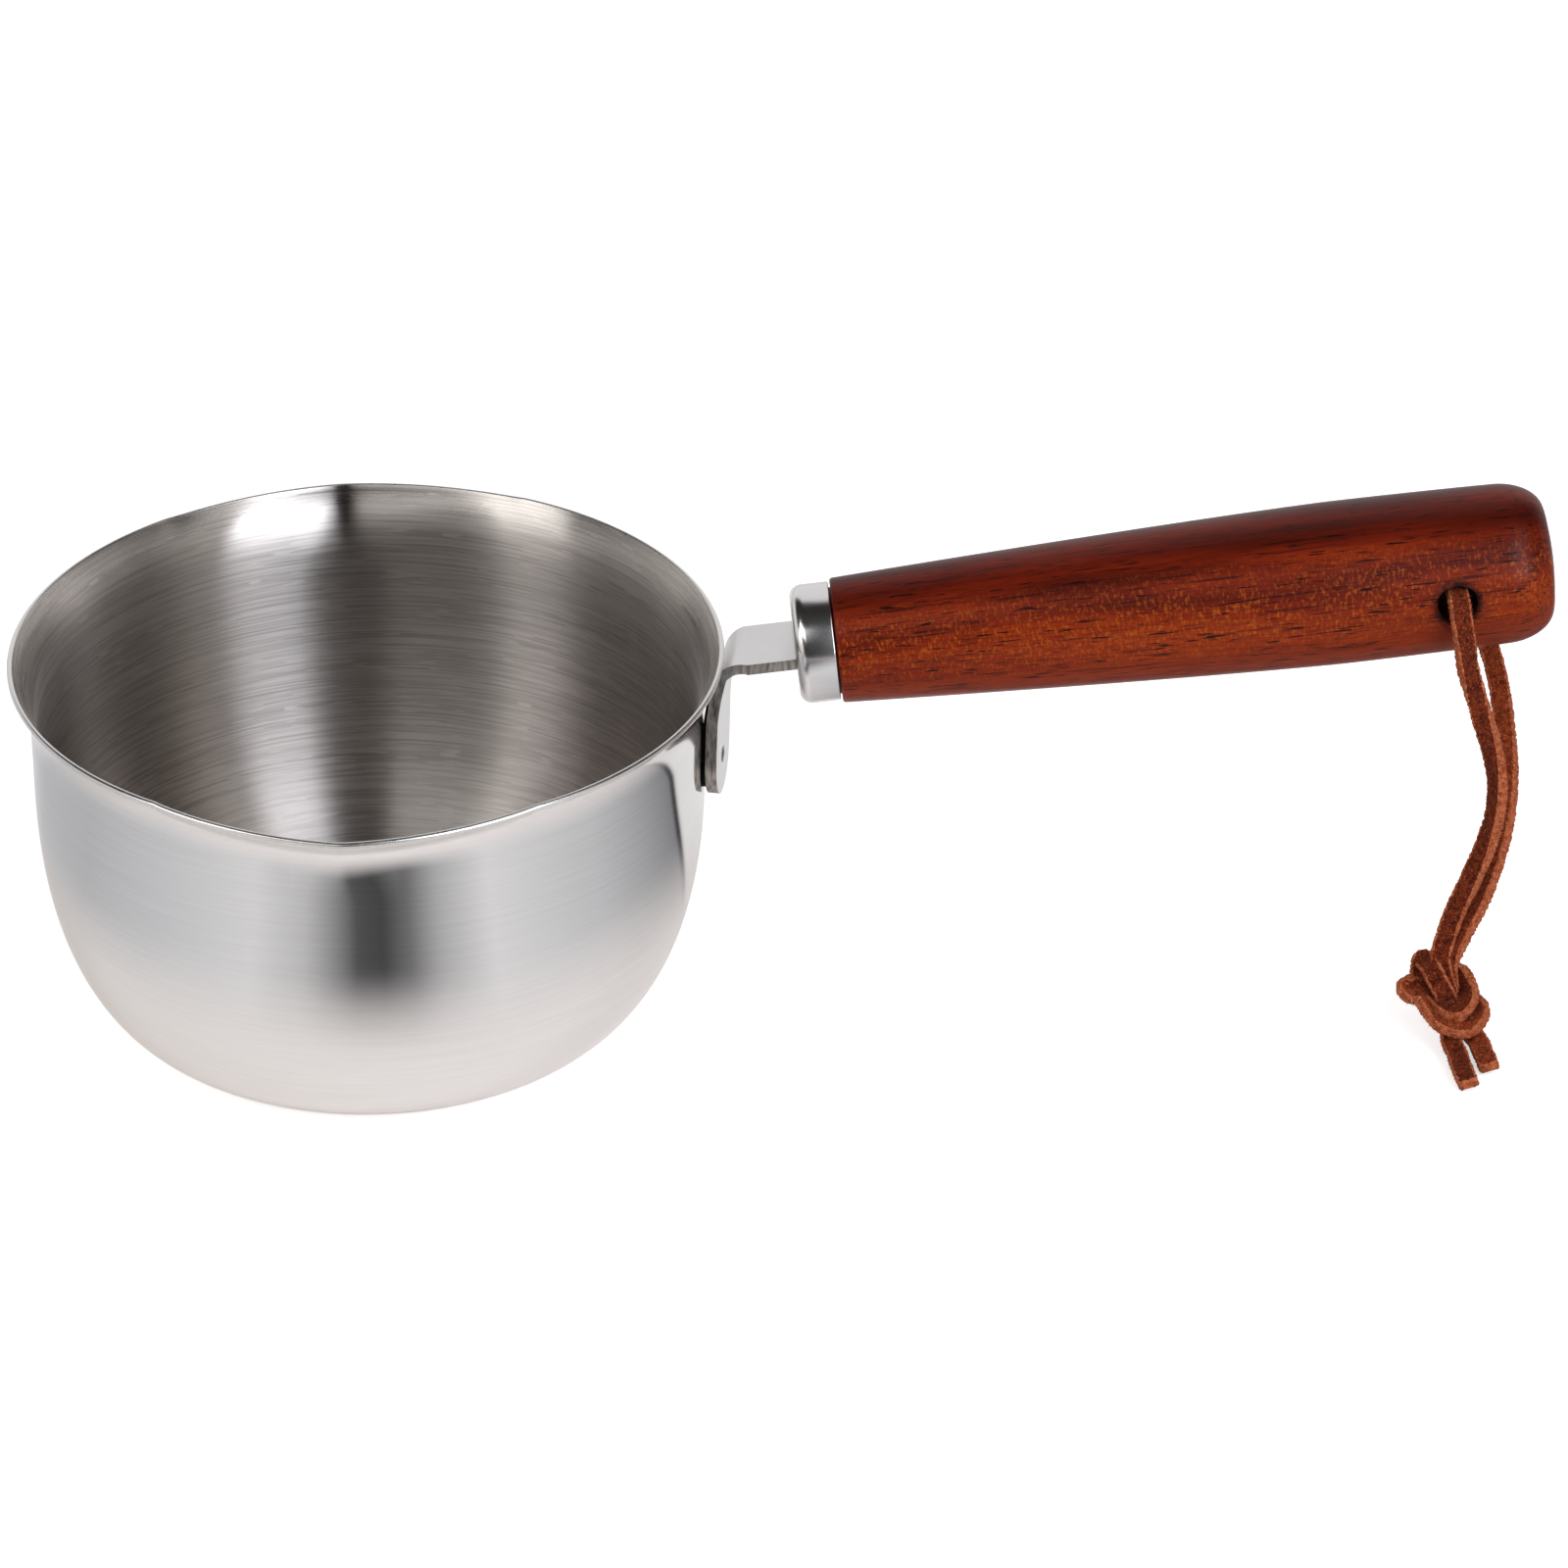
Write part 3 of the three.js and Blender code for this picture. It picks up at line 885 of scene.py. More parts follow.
@dataclass
class HandleLine:
    """Where the exposed wood starts, and how steeply the handle rises. Millimetres."""

    start: Triple = (81.9, 0, 69.6)
    rise_deg: float = 5.87

    def direction(self) -> Vector:
        """Direction of the handle, away from the pan."""
        rise = math.radians(self.rise_deg)
        return Vector((math.cos(rise), 0, math.sin(rise)))

    def at(self, distance: float) -> Vector:
        """Point of the handle's axis at a distance from the start of the wood."""
        return Vector(self.start) + self.direction() * distance

    def place(self, piece: Piece) -> None:
        """Puts a piece that was made along X, from the start of the wood, on the handle's line."""
        turn = Matrix.Rotation(-math.radians(self.rise_deg), 4, "Y")
        piece.matrix_world = Matrix.Translation(Vector(self.start) * mm(1)) @ turn


class StrapFace(IntEnum):
    """Which surface a face of the strap is, and its material number."""

    ROLLED = 0
    SHEARED = 1
    WELD = 2


@dataclass
class StrapSection:
    """One section of the strap: its middle, its frame and half its width."""

    at: Vector
    turn: Quaternion
    half: float


@dataclass
class HandleStrap:
    """The flat strip between pan and handle, folded on a skewed line into a welded tab. Millimetres."""

    line: HandleLine
    pan: PanBowl
    width: float = 14
    thickness: float = 2
    bend_radius: float = 4
    tab_length: float = 14
    lean_length: float = 9
    lean_share: float = 0.15
    tab_skew_deg: float = 12
    weld_seat_gap: float = 0.45
    weld_dimple_radius: float = 1.5
    weld_dimple_depth: float = 0.4
    weld_dimple_power: float = 1.5
    # The size of the painted shade in the slit as a share of the tab's, how far the tab leans where it is
    # welded, and the shade's depth as a multiple of the gap that it fills.
    slit_shade_share: float = 0.86
    slit_shade_to_deg: float = 13
    slit_shade_sink: float = 1.6
    tang_width: float = 8
    tang_length: float = 58
    shoulder_at: float = -4.7
    shoulder_taper: float = 1
    edge_radius: float = 0.25
    edge_segments: int = 3
    edge_deg: float = 50
    sharp_deg: float = 40
    columns: int = 36

    def sections(self) -> tuple[list[StrapSection], Vector, Vector]:
        """Sections from the tab's round tip, up the wall, round the bend and along the handle.

        Returns:
            The sections, the weld's middle and the tab's outward normal.
        """
        skew = math.radians(self.tab_skew_deg)
        wall_normal = Vector((math.cos(skew), -math.sin(skew), 0))
        level = Vector((math.sin(skew), math.cos(skew), 0))
        tab_up = level * math.sin(skew) + Vector((0, 0, math.cos(skew)))
        tab = strip_frame(tab_up, -wall_normal.cross(tab_up))
        arm = strip_frame(self.line.direction(), Vector((0, 1, 0)))
        fold = tab.rotation_difference(arm).angle

        lean_steps = 18
        bend_steps = 30
        bend: list[tuple[Vector, Quaternion]] = []
        end = Vector((0, 0, 0))
        stretches = (
            (0, self.lean_share, self.lean_length, lean_steps),
            (self.lean_share, 1, self.bend_radius * fold * (1 - self.lean_share), bend_steps),
        )
        for start, stop, length, steps in stretches:
            for i in range(steps):
                share = start + (stop - start) * i / steps
                halfway = share + (stop - start) / steps / 2
                bend.append((end.copy(), tab.slerp(arm, share)))
                end += tab.slerp(arm, halfway) @ Vector((length / steps, 0, 0))

        plane_offset = self.pan.wall_radius + self.weld_seat_gap + self.thickness / 2
        to_plane = plane_offset + wall_normal.dot(end) - wall_normal.dot(Vector(self.line.start))
        arm_start = self.line.at(to_plane / wall_normal.dot(self.line.direction()))
        bend_start = arm_start - end

        tip_radius = self.width / 2
        tip_steps = 30
        sections = []
        for i in range(1, tip_steps + 1):
            turn = math.pi / 2 * i / tip_steps
            from_tip = tip_radius * (1 - math.cos(turn))
            at = bend_start + tab_up * (from_tip - self.tab_length)
            sections.append(StrapSection(at, tab, tip_radius * math.sin(turn)))
        straight_steps = 16
        for i in range(1, straight_steps):
            at = bend_start + tab_up * (tip_radius - self.tab_length) * (1 - i / straight_steps)
            sections.append(StrapSection(at, tab, tip_radius))
        sections += [StrapSection(at + bend_start, turn, tip_radius) for at, turn in bend]
        tang_half = self.tang_width / 2
        sections += [
            StrapSection(arm_start, arm, tip_radius),
            StrapSection(self.line.at(self.shoulder_at - self.shoulder_taper), arm, tip_radius),
            StrapSection(self.line.at(self.shoulder_at), arm, tang_half),
            StrapSection(self.line.at(self.tang_length), arm, tang_half),
        ]
        weld = bend_start + tab_up * (tip_radius - self.tab_length)
        return sections, weld, wall_normal

    def dimple(self, distance: float) -> float:
        """Depth of the spot weld's dimple at a distance from its middle."""
        share = min(distance / self.weld_dimple_radius, 1)
        return self.weld_dimple_depth * (1 - share**2) ** self.weld_dimple_power

    def skin(self, rows: int) -> tuple[Faces, list[int]]:
        """Faces over the strap's sections, each a lower and an upper row of points.

        Args:
            rows: Number of sections.

        Returns:
            The faces and their material numbers.
        """
        count = self.columns
        row = 2 * (count + 1)
        ring = list(range(count + 1)) + [count + 1 + j for j in reversed(range(count + 1))]
        faces: Faces = []
        which: list[int] = []
        edges = ({0, count + 1}, {count, 2 * count + 1})
        for i in range(rows - 1):
            for a, b in zip(ring, ring[1:] + ring[:1]):
                faces.append((i * row + b, i * row + a, i * row + row + a, i * row + row + b))
                which.append(StrapFace.SHEARED if {a, b} in edges else StrapFace.ROLLED)
        faces.append(tuple(ring))
        faces.append(tuple((rows - 1) * row + j for j in reversed(ring)))
        return faces, which + [StrapFace.SHEARED] * 2

    def seam(self) -> Piece:
        """Makes a near-black sheet of painted shade that closes the slit between the tab and the wall.

        Returns:
            The sheet of painted shade.
        """
        sections, weld, normal = self.sections()
        reach = math.radians(self.slit_shade_to_deg)
        tab = [s for s in sections if s.turn.rotation_difference(sections[0].turn).angle < reach]
        places = [
            s.at + s.turn @ Vector((0, side * s.half, 0)) for side in (-1, 1) for s in tab[::side]
        ]
        back = self.thickness / 2
        points = [
            weld + (place - weld) * self.slit_shade_share - normal * depth
            for depth in (back + self.slit_shade_sink * self.weld_seat_gap, back - self.edge_radius)
            for place in places
        ]
        count = len(places)
        faces = ring_faces(2, count) + [tuple(range(count))[::-1], tuple(range(count, 2 * count))]
        seam = new_piece("strap_slit_painted_shade", points, faces, [SLIT_SHADE.make()])
        crisp(seam, self.sharp_deg)
        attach(seam, "pan")
        return seam

    def build(self) -> Piece:
        """Makes the strap, with rolled faces and sheared edges.

        Returns:
            The strap.
        """
        sections, weld, normal = self.sections()
        outer_weld = weld + normal * self.thickness / 2
        points: list[Vector] = []
        for section in sections:
            for side in (-1, 1):
                for j in range(self.columns + 1):
                    across = section.half * (2 * j / self.columns - 1)
                    place = section.at + section.turn @ Vector((0, across, side * self.thickness / 2))
                    points.append(place - normal * self.dimple((place - outer_weld).length))
        faces, which = self.skin(len(sections))
        for i, face in enumerate(faces):
            middle = sum((points[j] for j in face), Vector()) / len(face)
            if (middle - outer_weld).length < self.weld_dimple_radius:
                which[i] = StrapFace.WELD
        materials = [STRAP_STEEL.make(), SHEARED_STEEL.make(), WELD_SPOT.make()]
        strap = new_piece("strap_folded_steel", points, faces, materials, which)
        bevel = strap.modifiers.new("deburred", "BEVEL")
        bevel.width = mm(self.edge_radius)
        bevel.segments = self.edge_segments
        bevel.limit_method = "ANGLE"
        bevel.angle_limit = math.radians(self.edge_deg)
        apply_modifiers(strap)
        crisp(strap, self.sharp_deg)
        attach(strap, "pan")
        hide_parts("handle_strap")
        return strap


@dataclass
class Ferrule:
    """The drawn steel cap over the front end of the wood. Millimetres."""

    line: HandleLine
    strap: HandleStrap
    radius: float = 10.45
    length: float = 7
    wall: float = 0.8
    nose: float = 2.2
    seat_gap: float = 0.3
    lip_radius: float = 0.25
    sharp_deg: float = 50
    segments: int = 128

    def profile(self) -> list[Pair]:
        """Section of the cap, from the middle of its front face round to the middle inside.

        Returns:
            Points of radius and distance along the handle.
        """
        front = -self.seat_gap - self.length
        back = -self.seat_gap
        inner = self.radius - self.wall
        inner_nose = self.nose - self.wall
        outer_arc = arc((self.radius - self.nose, front + self.nose), self.nose, -90, 0, steps=14)
        lip = arc((self.radius - self.lip_radius, back - self.lip_radius), self.lip_radius, 0, 90, steps=5)
        inner_arc = arc((inner - inner_nose, front + self.nose), inner_nose, 0, -90, steps=8)
        return [(0, front), *outer_arc, *lip, (inner, back), *inner_arc, (0, front + self.wall)]

    def slot(self) -> Piece:
        """Makes the solid that cuts the slot for the strap.

        Returns:
            The cutter.
        """
        front = -self.seat_gap - self.length
        half_width = self.strap.width / 2 + self.seat_gap
        half_height = self.strap.thickness / 2 + self.seat_gap
        corners = [
            Vector((front + x * 2 * self.wall, y * half_width, z * half_height))
            for x in (-1, 1) for y in (-1, 1) for z in (-1, 1)
        ]
        sides = [(0, 1, 3, 2), (4, 6, 7, 5), (0, 4, 5, 1), (2, 3, 7, 6), (0, 2, 6, 4), (1, 5, 7, 3)]
        return new_piece("slot", corners, sides)

    def build(self) -> Piece:
        """Makes the ferrule with its slot for the strap.

        Returns:
            The ferrule.
        """
        steel = FERRULE_STEEL.make()
        ferrule = turned_piece("ferrule_drawn_steel", self.profile(), self.segments, steel)
        cut(ferrule, self.slot())
        crisp(ferrule, self.sharp_deg)
        self.line.place(ferrule)
        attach(ferrule, "pan")
        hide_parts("ferrule")
        return ferrule


@dataclass
class Grip:
    """The turned wooden grip with its cross hole. Millimetres."""

    line: HandleLine
    length: float = 125.7
    front_radius: float = 10.95
    belly_radius: float = 14.25
    belly_at: float = 88
    end_radius: float = 13.8
    taper_power: float = 1.3
    end_run_out: float = 9
    end_drop: float = 5
    end_crown: float = 0.8
    front_chamfer: float = 0.5
    spigot_radius: float = 9.35
    spigot_length: float = 4.4
    hole_radius: float = 3.5
    hole_from_end: float = 18.3
    hole_rise: float = 0.6
    hole_countersink: float = 0.7
    sharp_deg: float = 35
    segments: int = 160
    hole_segments: int = 64

    def radius_at(self, x: float) -> float:
        """Radius of the wood before its end is rounded over.

        Args:
            x: Distance from the front end of the wood.

        Returns:
            The radius there.
        """
        if x < self.belly_at:
            left = 1 - x / self.belly_at
            return self.belly_radius - (self.belly_radius - self.front_radius) * left**self.taper_power
        past = (x - self.belly_at) / (self.length - self.belly_at)
        return self.belly_radius - (self.belly_radius - self.end_radius) * past**2

    def profile(self) -> list[Pair]:
        """Outline of the wood, from the spigot's end to the crown of the round end.

        Returns:
            Points of radius and distance along the handle.
        """
        body_steps = 90
        end_steps = 24
        crown_steps = 6
        round_from = self.length - self.end_run_out
        spigot_end = -self.spigot_length
        line = [(0, spigot_end), (self.spigot_radius, spigot_end), (self.spigot_radius, 0)]
        rounding = self.front_chamfer
        line += arc((self.front_radius - rounding, rounding), rounding, -90, 0, steps=5)[:-1]
        for i in range(body_steps + 1):
            x = self.front_chamfer + (round_from - self.front_chamfer) * i / body_steps
            line.append((self.radius_at(x), x))
        for i in range(1, end_steps + 1):
            turn = math.pi / 2 * i / end_steps
            x = round_from + (self.end_run_out - self.end_crown) * math.sin(turn)
            line.append((self.radius_at(x) - self.end_drop * (1 - math.cos(turn)), x))
        edge_radius, edge_x = line[-1]
        for i in range(1, crown_steps + 1):
            share = 1 - i / crown_steps
            line.append((edge_radius * share, edge_x + self.end_crown * (1 - share**2)))
        return line

    def hole_at(self) -> Triple:
        """Middle of the cross hole in the grip's own frame."""
        return self.length - self.hole_from_end, 0, self.hole_rise

    def drill(self) -> Piece:
        """Makes the solid that drills the cross hole and breaks its two edges.

        Returns:
            The cutter.
        """
        reach = 2 * self.belly_radius
        mouth = self.belly_radius - self.hole_countersink
        flared = self.hole_radius + reach - mouth
        profile = [
            (0, -reach), (flared, -reach), (self.hole_radius, -mouth),
            (self.hole_radius, mouth), (flared, reach), (0, reach),
        ]
        turns = even_turns(self.hole_segments)
        middle = Vector(self.hole_at())
        points = [Vector((p.x, -p.z, p.y)) + middle for p in turned_points(profile, turns)]
        return new_piece("drill", points, turned_faces(len(profile) - 2, self.hole_segments))

    def build(self) -> Piece:
        """Makes the grip and drills its cross hole.

        Returns:
            The grip.
        """
        wood = StainedWood("stained_hardwood_lacquered", self.hole_at(), self.hole_radius).make()
        grip = turned_piece("grip_turned_wood", self.profile(), self.segments, wood)
        cut(grip, self.drill())
        crisp(grip, self.sharp_deg)
        self.line.place(grip)
        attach(grip, "pan")
        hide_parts("handle_grip")
        return grip


@dataclass(frozen=True)
class PhotoView:
    """The photograph's camera, as angles, target and distance in millimetres."""

    azimuth_deg: float = -3
    elevation_deg: float = 30.3
    target: Triple = (72.8, 0, 40.8)
    distance: float = 1212
    focal_px: float = 7000
    frame_px: float = 1600
    sensor: float = 36

    def back(self) -> Vector:
        """Direction from the target to the camera.

        Returns:
            The direction, of length 1.
        """
        azimuth = math.radians(self.azimuth_deg)
        elevation = math.radians(self.elevation_deg)
        level = Vector((math.sin(azimuth), -math.cos(azimuth), 0))
        return level * math.cos(elevation) + Vector((0, 0, math.sin(elevation)))

    def right(self) -> Vector:
        """Direction to the right of the picture."""
        return Vector((0, 0, 1)).cross(self.back()).normalized()

    def up(self) -> Vector:
        """Direction up the picture."""
        return self.back().cross(self.right())

    def build(self) -> Piece:
        """Makes the camera and gives it to the scene.

        Returns:
            The camera.
        """
        data = bpy.data.cameras.new("camera")
        data.sensor_width = self.sensor
        data.lens = self.sensor * self.focal_px / self.frame_px
        camera = bpy.data.objects.new("camera", data)
        camera.location = (Vector(self.target) + self.back() * self.distance) * mm(1)
        camera.rotation_mode = "QUATERNION"
        camera.rotation_quaternion = (-self.back()).to_track_quat("-Z", "Y")
        bpy.context.scene.collection.objects.link(camera)
        bpy.context.scene.camera = camera
        return camera


# Route of the thong's loop in millimetres, from the knot up the front strand, through the hole and down the
# back strand, and the number of its point in the middle of the hole.
THONG_ROUTE = [
    (190.3, -19.8, 23), (192.6, -19.4, 28.7), (194.8, -19, 34.8),
    (196.4, -18.5, 41.2), (196.6, -18.2, 47.6), (195.6, -18, 53.7), (193.6, -17.7, 60.1),
    (191.6, -17.4, 66.5), (190.3, -17.5, 71), (189.6, -17.9, 75.5), (188.95, -17.2, 79.6),
    (188.75, -14.4, 82.1), (188.7, -8, 82.75), (188.7, 0, 82.75), (188.7, 8, 82.75),
    (188.8, 14.4, 82.1), (189.3, 17.2, 79.6), (190.6, 17.9, 75.5), (193.6, 17.3, 69), (197, 16.2, 62.4),
    (199.4, 13.6, 56.6), (200.6, 9, 51.8), (201, 2.5, 46.6), (200.8, -4.5, 41), (199.5, -10.5, 35),
    (197.3, -14.8, 28.8), (194.9, -17.4, 23.4),
]
HOLE_POINT = 13

# Turn of the strip about its line at each point from the hole down to the knot, in degrees.
FRONT_TURNS = [0, 0, 0, -5, -20, -25, -5, 25, 45, 57, 55, 40, 25, 15]
BACK_TURNS = [0, 0, 0, 0, 0, 0, 0, 0, 10, 20, 30, 42, 50, 50]

# The knot, as millimetres right, up and towards the eye from its middle, and the strip's turn in degrees.
# The inner strand goes down the middle and behind, round the right, across the front as the collar, back
# round the upper left ear and down through the middle.
KNOT_INNER = [
    (-0.35, 8.7, 1.9, 10), (-1.2, 5.5, 1.7, 0), (-0.7, 3.0, 1.0, 0), (0.2, 0.2, 0.2, 0),
    (0.8, -1.8, -1.3, 0), (1.4, -1.2, -3.6, 0), (1.3, 1.4, -4.2, 0), (2.2, 2.9, -2.9, 20),
    (3.4, 1.7, -1.0, 45), (4.0, -0.6, 1.0, 49), (3.1, -2.6, 3.2, 49), (1.4, -3.7, 4.2, 49),
    (-0.5, -3.2, 3.6, 49), (-2.0, -1.8, 1.5, 40), (-3.4, 0.6, -1.2, 20), (-4.3, 3.4, -1.8, 0),
    (-3.9, 5.3, -0.3, 0), (-3.0, 4.2, 2.0, 0), (-1.9, 1.9, 3.5, 0), (-0.6, -0.5, 3.0, 0),
    (0.4, -2.5, 0.6, 0), (0.9, -5.2, -0.3, 0),
]
# The outer strand goes behind, round the right, across the front as the ring, and back round the lower left
# ear.
KNOT_OUTER = [
    (2.2, 8.7, 0.5, 40), (0.7, 5.5, 0.0, 20), (0.4, 2.4, -0.8, 0), (1.2, -0.9, -1.4, 0),
    (3.0, -3.0, -3.0, 0), (4.8, -2.5, -3.0, 30), (5.9, -3.2, -0.5, 45), (5.4, -5.0, 2.5, 49),
    (3.1, -6.7, 4.5, 49), (0.9, -6.5, 5.0, 49), (-1.5, -5.4, 4.3, 49), (-3.2, -3.2, 2.8, 49),
    (-4.4, -1.3, 1.5, 49), (-6.2, -0.6, 0.5, 45), (-6.9, 0.4, -0.8, 40), (-5.5, 0.9, -1.5, 30),
    (-3.4, 0.4, -2.0, 10), (-1.5, -0.6, -1.6, 0), (0.3, -2.5, -2.2, 0), (2.0, -5.3, -1.5, 0),
]
# The two cut ends, in millimetres in the frame.
INNER_TAIL = [(189.0, -31.2, 3.0), (189.5, -34.3, 2.4), (189.9, -38.9, 2.0), (190.4, -43.6, 1.9)]
OUTER_TAIL = [(192.4, -28.6, 3.4), (193.6, -31.0, 2.9), (194.3, -34.6, 2.2), (194.7, -38.5, 2.0)]

# Columns of a route after x, y and z: the strip's turn in degrees, and how far it lies square to the eye, as
# in the knot, and not square to the handle, as in the hole.
TURN, SQUARE = 3, 4


def smooth_line(points: Sequence[Sequence[float]], step: float) -> np.ndarray:
    """A centripetal Catmull-Rom line through points, with other values carried along.

    Args:
        points: Rows of x, y, z and any values that go with them.
        step: Distance between the line's points.

    Returns:
        Rows like the given ones, evenly spaced along the line.
    """
    rows = np.array(points, float)
    rows = np.vstack([2 * rows[0] - rows[1], rows, 2 * rows[-1] - rows[-2]])
    gaps = np.sqrt(np.linalg.norm(np.diff(rows[:, :3], axis=0), axis=1))
    knots = np.concatenate([[0], np.cumsum(gaps)])
    between = 24
    dense = []
    for i in range(1, len(rows) - 2):
        t0, t1, t2, t3 = knots[i - 1 : i + 3]
        p0, p1, p2, p3 = rows[i - 1 : i + 3]
        for t in np.linspace(t1, t2, between, endpoint=False):
            a1 = (t1 - t) / (t1 - t0) * p0 + (t - t0) / (t1 - t0) * p1
            a2 = (t2 - t) / (t2 - t1) * p1 + (t - t1) / (t2 - t1) * p2
            a3 = (t3 - t) / (t3 - t2) * p2 + (t - t2) / (t3 - t2) * p3
            b1 = (t2 - t) / (t2 - t0) * a1 + (t - t0) / (t2 - t0) * a2
            b2 = (t3 - t) / (t3 - t1) * a2 + (t - t1) / (t3 - t1) * a3
            dense.append((t2 - t) / (t2 - t1) * b1 + (t - t1) / (t2 - t1) * b2)
    dense.append(rows[-2])
    line = np.array(dense)
    along = np.concatenate([[0], np.cumsum(np.linalg.norm(np.diff(line[:, :3], axis=0), axis=1))])
    places = np.linspace(0, along[-1], max(2, round(along[-1] / step)) + 1)
    return np.stack([np.interp(places, along, line[:, k]) for k in range(line.shape[1])], axis=1)


def unit(rows: np.ndarray) -> np.ndarray:
    """Rows of vectors, each of length 1."""
    return rows / np.linalg.norm(rows, axis=1)[:, None]


class StripFace(IntEnum):
    """Which surface of the strip a stretch of its outline is, and its material number."""

    FACE = 0
    EDGE = 1


@dataclass
class ThongStrand:
    """Half of the suede thong, from the middle of the hole through the knot to its cut end. Millimetres."""

    name: str
    route: Route
    seed: int
    width: float = 3.5
    thickness: float = 2
    corner: float = 0.35
    fray: float = 0.19
    step: float = 0.3
    hairs: int = 2600
    hair_length: Pair = (0.25, 0.85)
    hair_width: float = 0.06

    def outline(self) -> tuple[list[Pair], list[int]]:
        """Outline across the strip.

        Returns:
            Its points, and the surface of the stretch that starts at each.
        """
        half_width = self.width / 2 - self.corner
        half_thickness = self.thickness / 2 - self.corner
        corner_steps = 3
        edge_steps = 4
        face_steps = 6
        outline: list[Pair] = []
        which: list[int] = []
        corners = ((1, -1), (1, 1), (-1, 1), (-1, -1))
        for i, (x, y) in enumerate(corners):
            centre = (x * half_width, y * half_thickness)
            rounding = arc(centre, self.corner, -90 + 90 * i, 90 * i, corner_steps)
            outline += rounding
            which += [StripFace.EDGE] * corner_steps
            face, steps = (StripFace.FACE, face_steps) if i % 2 else (StripFace.EDGE, edge_steps)
            following = corners[(i + 1) % len(corners)]
            next_centre = (following[0] * half_width, following[1] * half_thickness)
            start = rounding[-1]
            end = arc(next_centre, self.corner, 90 * i, 90 * i, steps=1)[0]
            for share in (k / steps for k in range(1, steps)):
                outline.append(tuple(a + (b - a) * share for a, b in zip(start, end)))
            which += [face] * steps
        return outline, which

    def frames(self, line: np.ndarray) -> tuple[np.ndarray, np.ndarray, np.ndarray]:
        """Frame of the strip at each point of its line.

        Args:
            line: Rows of the route.

        Returns:
            Directions along the strip, across it and out of its face.
        """
        along = unit(np.gradient(line[:, :3], axis=0))
        to_eye = np.array(PhotoView().back())
        never_zero = 1e-9
        square_to_eye = unit(np.cross(to_eye, along) + never_zero)
        handle = np.array((1.0, 0, 0))
        square_to_handle = unit(handle - along * along[:, :1])
        share = line[:, [SQUARE]]
        flat = unit(square_to_eye * share + square_to_handle * (1 - share))
        flat = unit(flat - along * np.sum(flat * along, axis=1)[:, None])
        out = np.cross(along, flat)
        turn = np.radians(line[:, [TURN]])
        across = flat * np.cos(turn) + out * np.sin(turn)
        return along, across, np.cross(along, across)

    def skin(self, line: np.ndarray) -> tuple[list[np.ndarray], Faces, list[int]]:
        """The strip's uneven skin, with loose fibres standing on it.

        Args:
            line: Rows of the route.

        Returns:
            Points, faces and the faces' material numbers.
        """
        along, across, out = self.frames(line)
        outline, sides = self.outline()
        random = np.random.default_rng(self.seed)
        count = len(outline)
        rows = len(line)
        points: list[np.ndarray] = []
        for i in range(rows):
            for x, y in outline:
                grow = 1 + random.uniform(-self.fray, self.fray) / math.hypot(x, y)
                points.append(line[i, :3] + (across[i] * x + out[i] * y) * grow)
        caps = [tuple(reversed(range(count))), tuple((rows - 1) * count + j for j in range(count))]
        faces = ring_faces(rows, count) + caps
        which = sides * (rows - 1) + [StripFace.EDGE] * 2
        for _ in range(self.hairs):
            i = int(random.integers(rows))
            root = points[i * count + int(random.integers(count))]
            lean = root - line[i, :3] + random.normal(0, 1.0, 3)
            tip = root + lean / np.linalg.norm(lean) * random.uniform(*self.hair_length)
            start = len(points)
            half = along[i] * self.hair_width / 2
            points += [root - half, root + half, tip]
            faces.append((start, start + 1, start + 2))
            which.append(StripFace.EDGE)
        return points, faces, which

    def build(self, face: Material, edge: Material) -> Piece:
        """Args:
            face: Suede of the two faces.
            edge: Suede of the cut edges.

        Returns:
            The strand.
        """
        line = smooth_line(self.route, self.step)
        points, faces, which = self.skin(line)
        strand = new_piece(self.name, points, faces, [face, edge], which)
        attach(strand, "thong")
        return strand


@dataclass
class Thong:
    """The suede thong: two strands from the hole, tied together in an overhand knot above the table."""

    knot_centre: Triple = (188.69, -23.6, 8.88)

    def hanging(self, points: Sequence[Triple], turns: Sequence[float]) -> Route:
        """Route of a hanging strand, square to the handle in the hole and to the eye lower down.

        Args:
            points: Places from the hole down to the knot.
            turns: The strip's turn at each of them, in degrees.

        Returns:
            The route.
        """
        first_square = 4
        settled = 3
        route = []
        for i, (point, turn) in enumerate(zip(points, turns, strict=True)):
            share = min(max((i - first_square) / settled, 0), 1)
            route.append((*point, turn, share))
        return route

    def knotted(self, points: Sequence[tuple[float, float, float, float]]) -> Route:
        """Route of a strand in the knot.

        Args:
            points: Millimetres right, up and towards the eye from the knot's middle, and the turn.

        Returns:
            Places in the frame, each with its turn, square to the eye.
        """
        view = PhotoView()
        right, up, back = view.right(), view.up(), view.back()
        centre = Vector(self.knot_centre)
        return [(*(centre + right * u + up * v + back * w), turn, 1.0) for u, v, w, turn in points]

    def build(self) -> list[Piece]:
        """Makes both strands, which stand for the plain loop and knot.

        Returns:
            The front and the back strand.
        """
        edge = SUEDE_EDGE_LIT.make()
        front = self.hanging(THONG_ROUTE[HOLE_POINT::-1], FRONT_TURNS) + self.knotted(KNOT_INNER)
        front += [(*p, 0.0, 1.0) for p in INNER_TAIL]
        back = self.hanging(THONG_ROUTE[HOLE_POINT:], BACK_TURNS) + self.knotted(KNOT_OUTER)
        back += [(*p, 0.0, 1.0) for p in OUTER_TAIL]
        strands = [
            ThongStrand("thong_front_strand", front, seed=1).build(SUEDE_FACE_SHADED.make(), edge),
            ThongStrand("thong_back_strand", back, seed=2).build(SUEDE_FLESH_LIT.make(), edge),
        ]
        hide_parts("thong_loop", "thong_knot")
        return strands


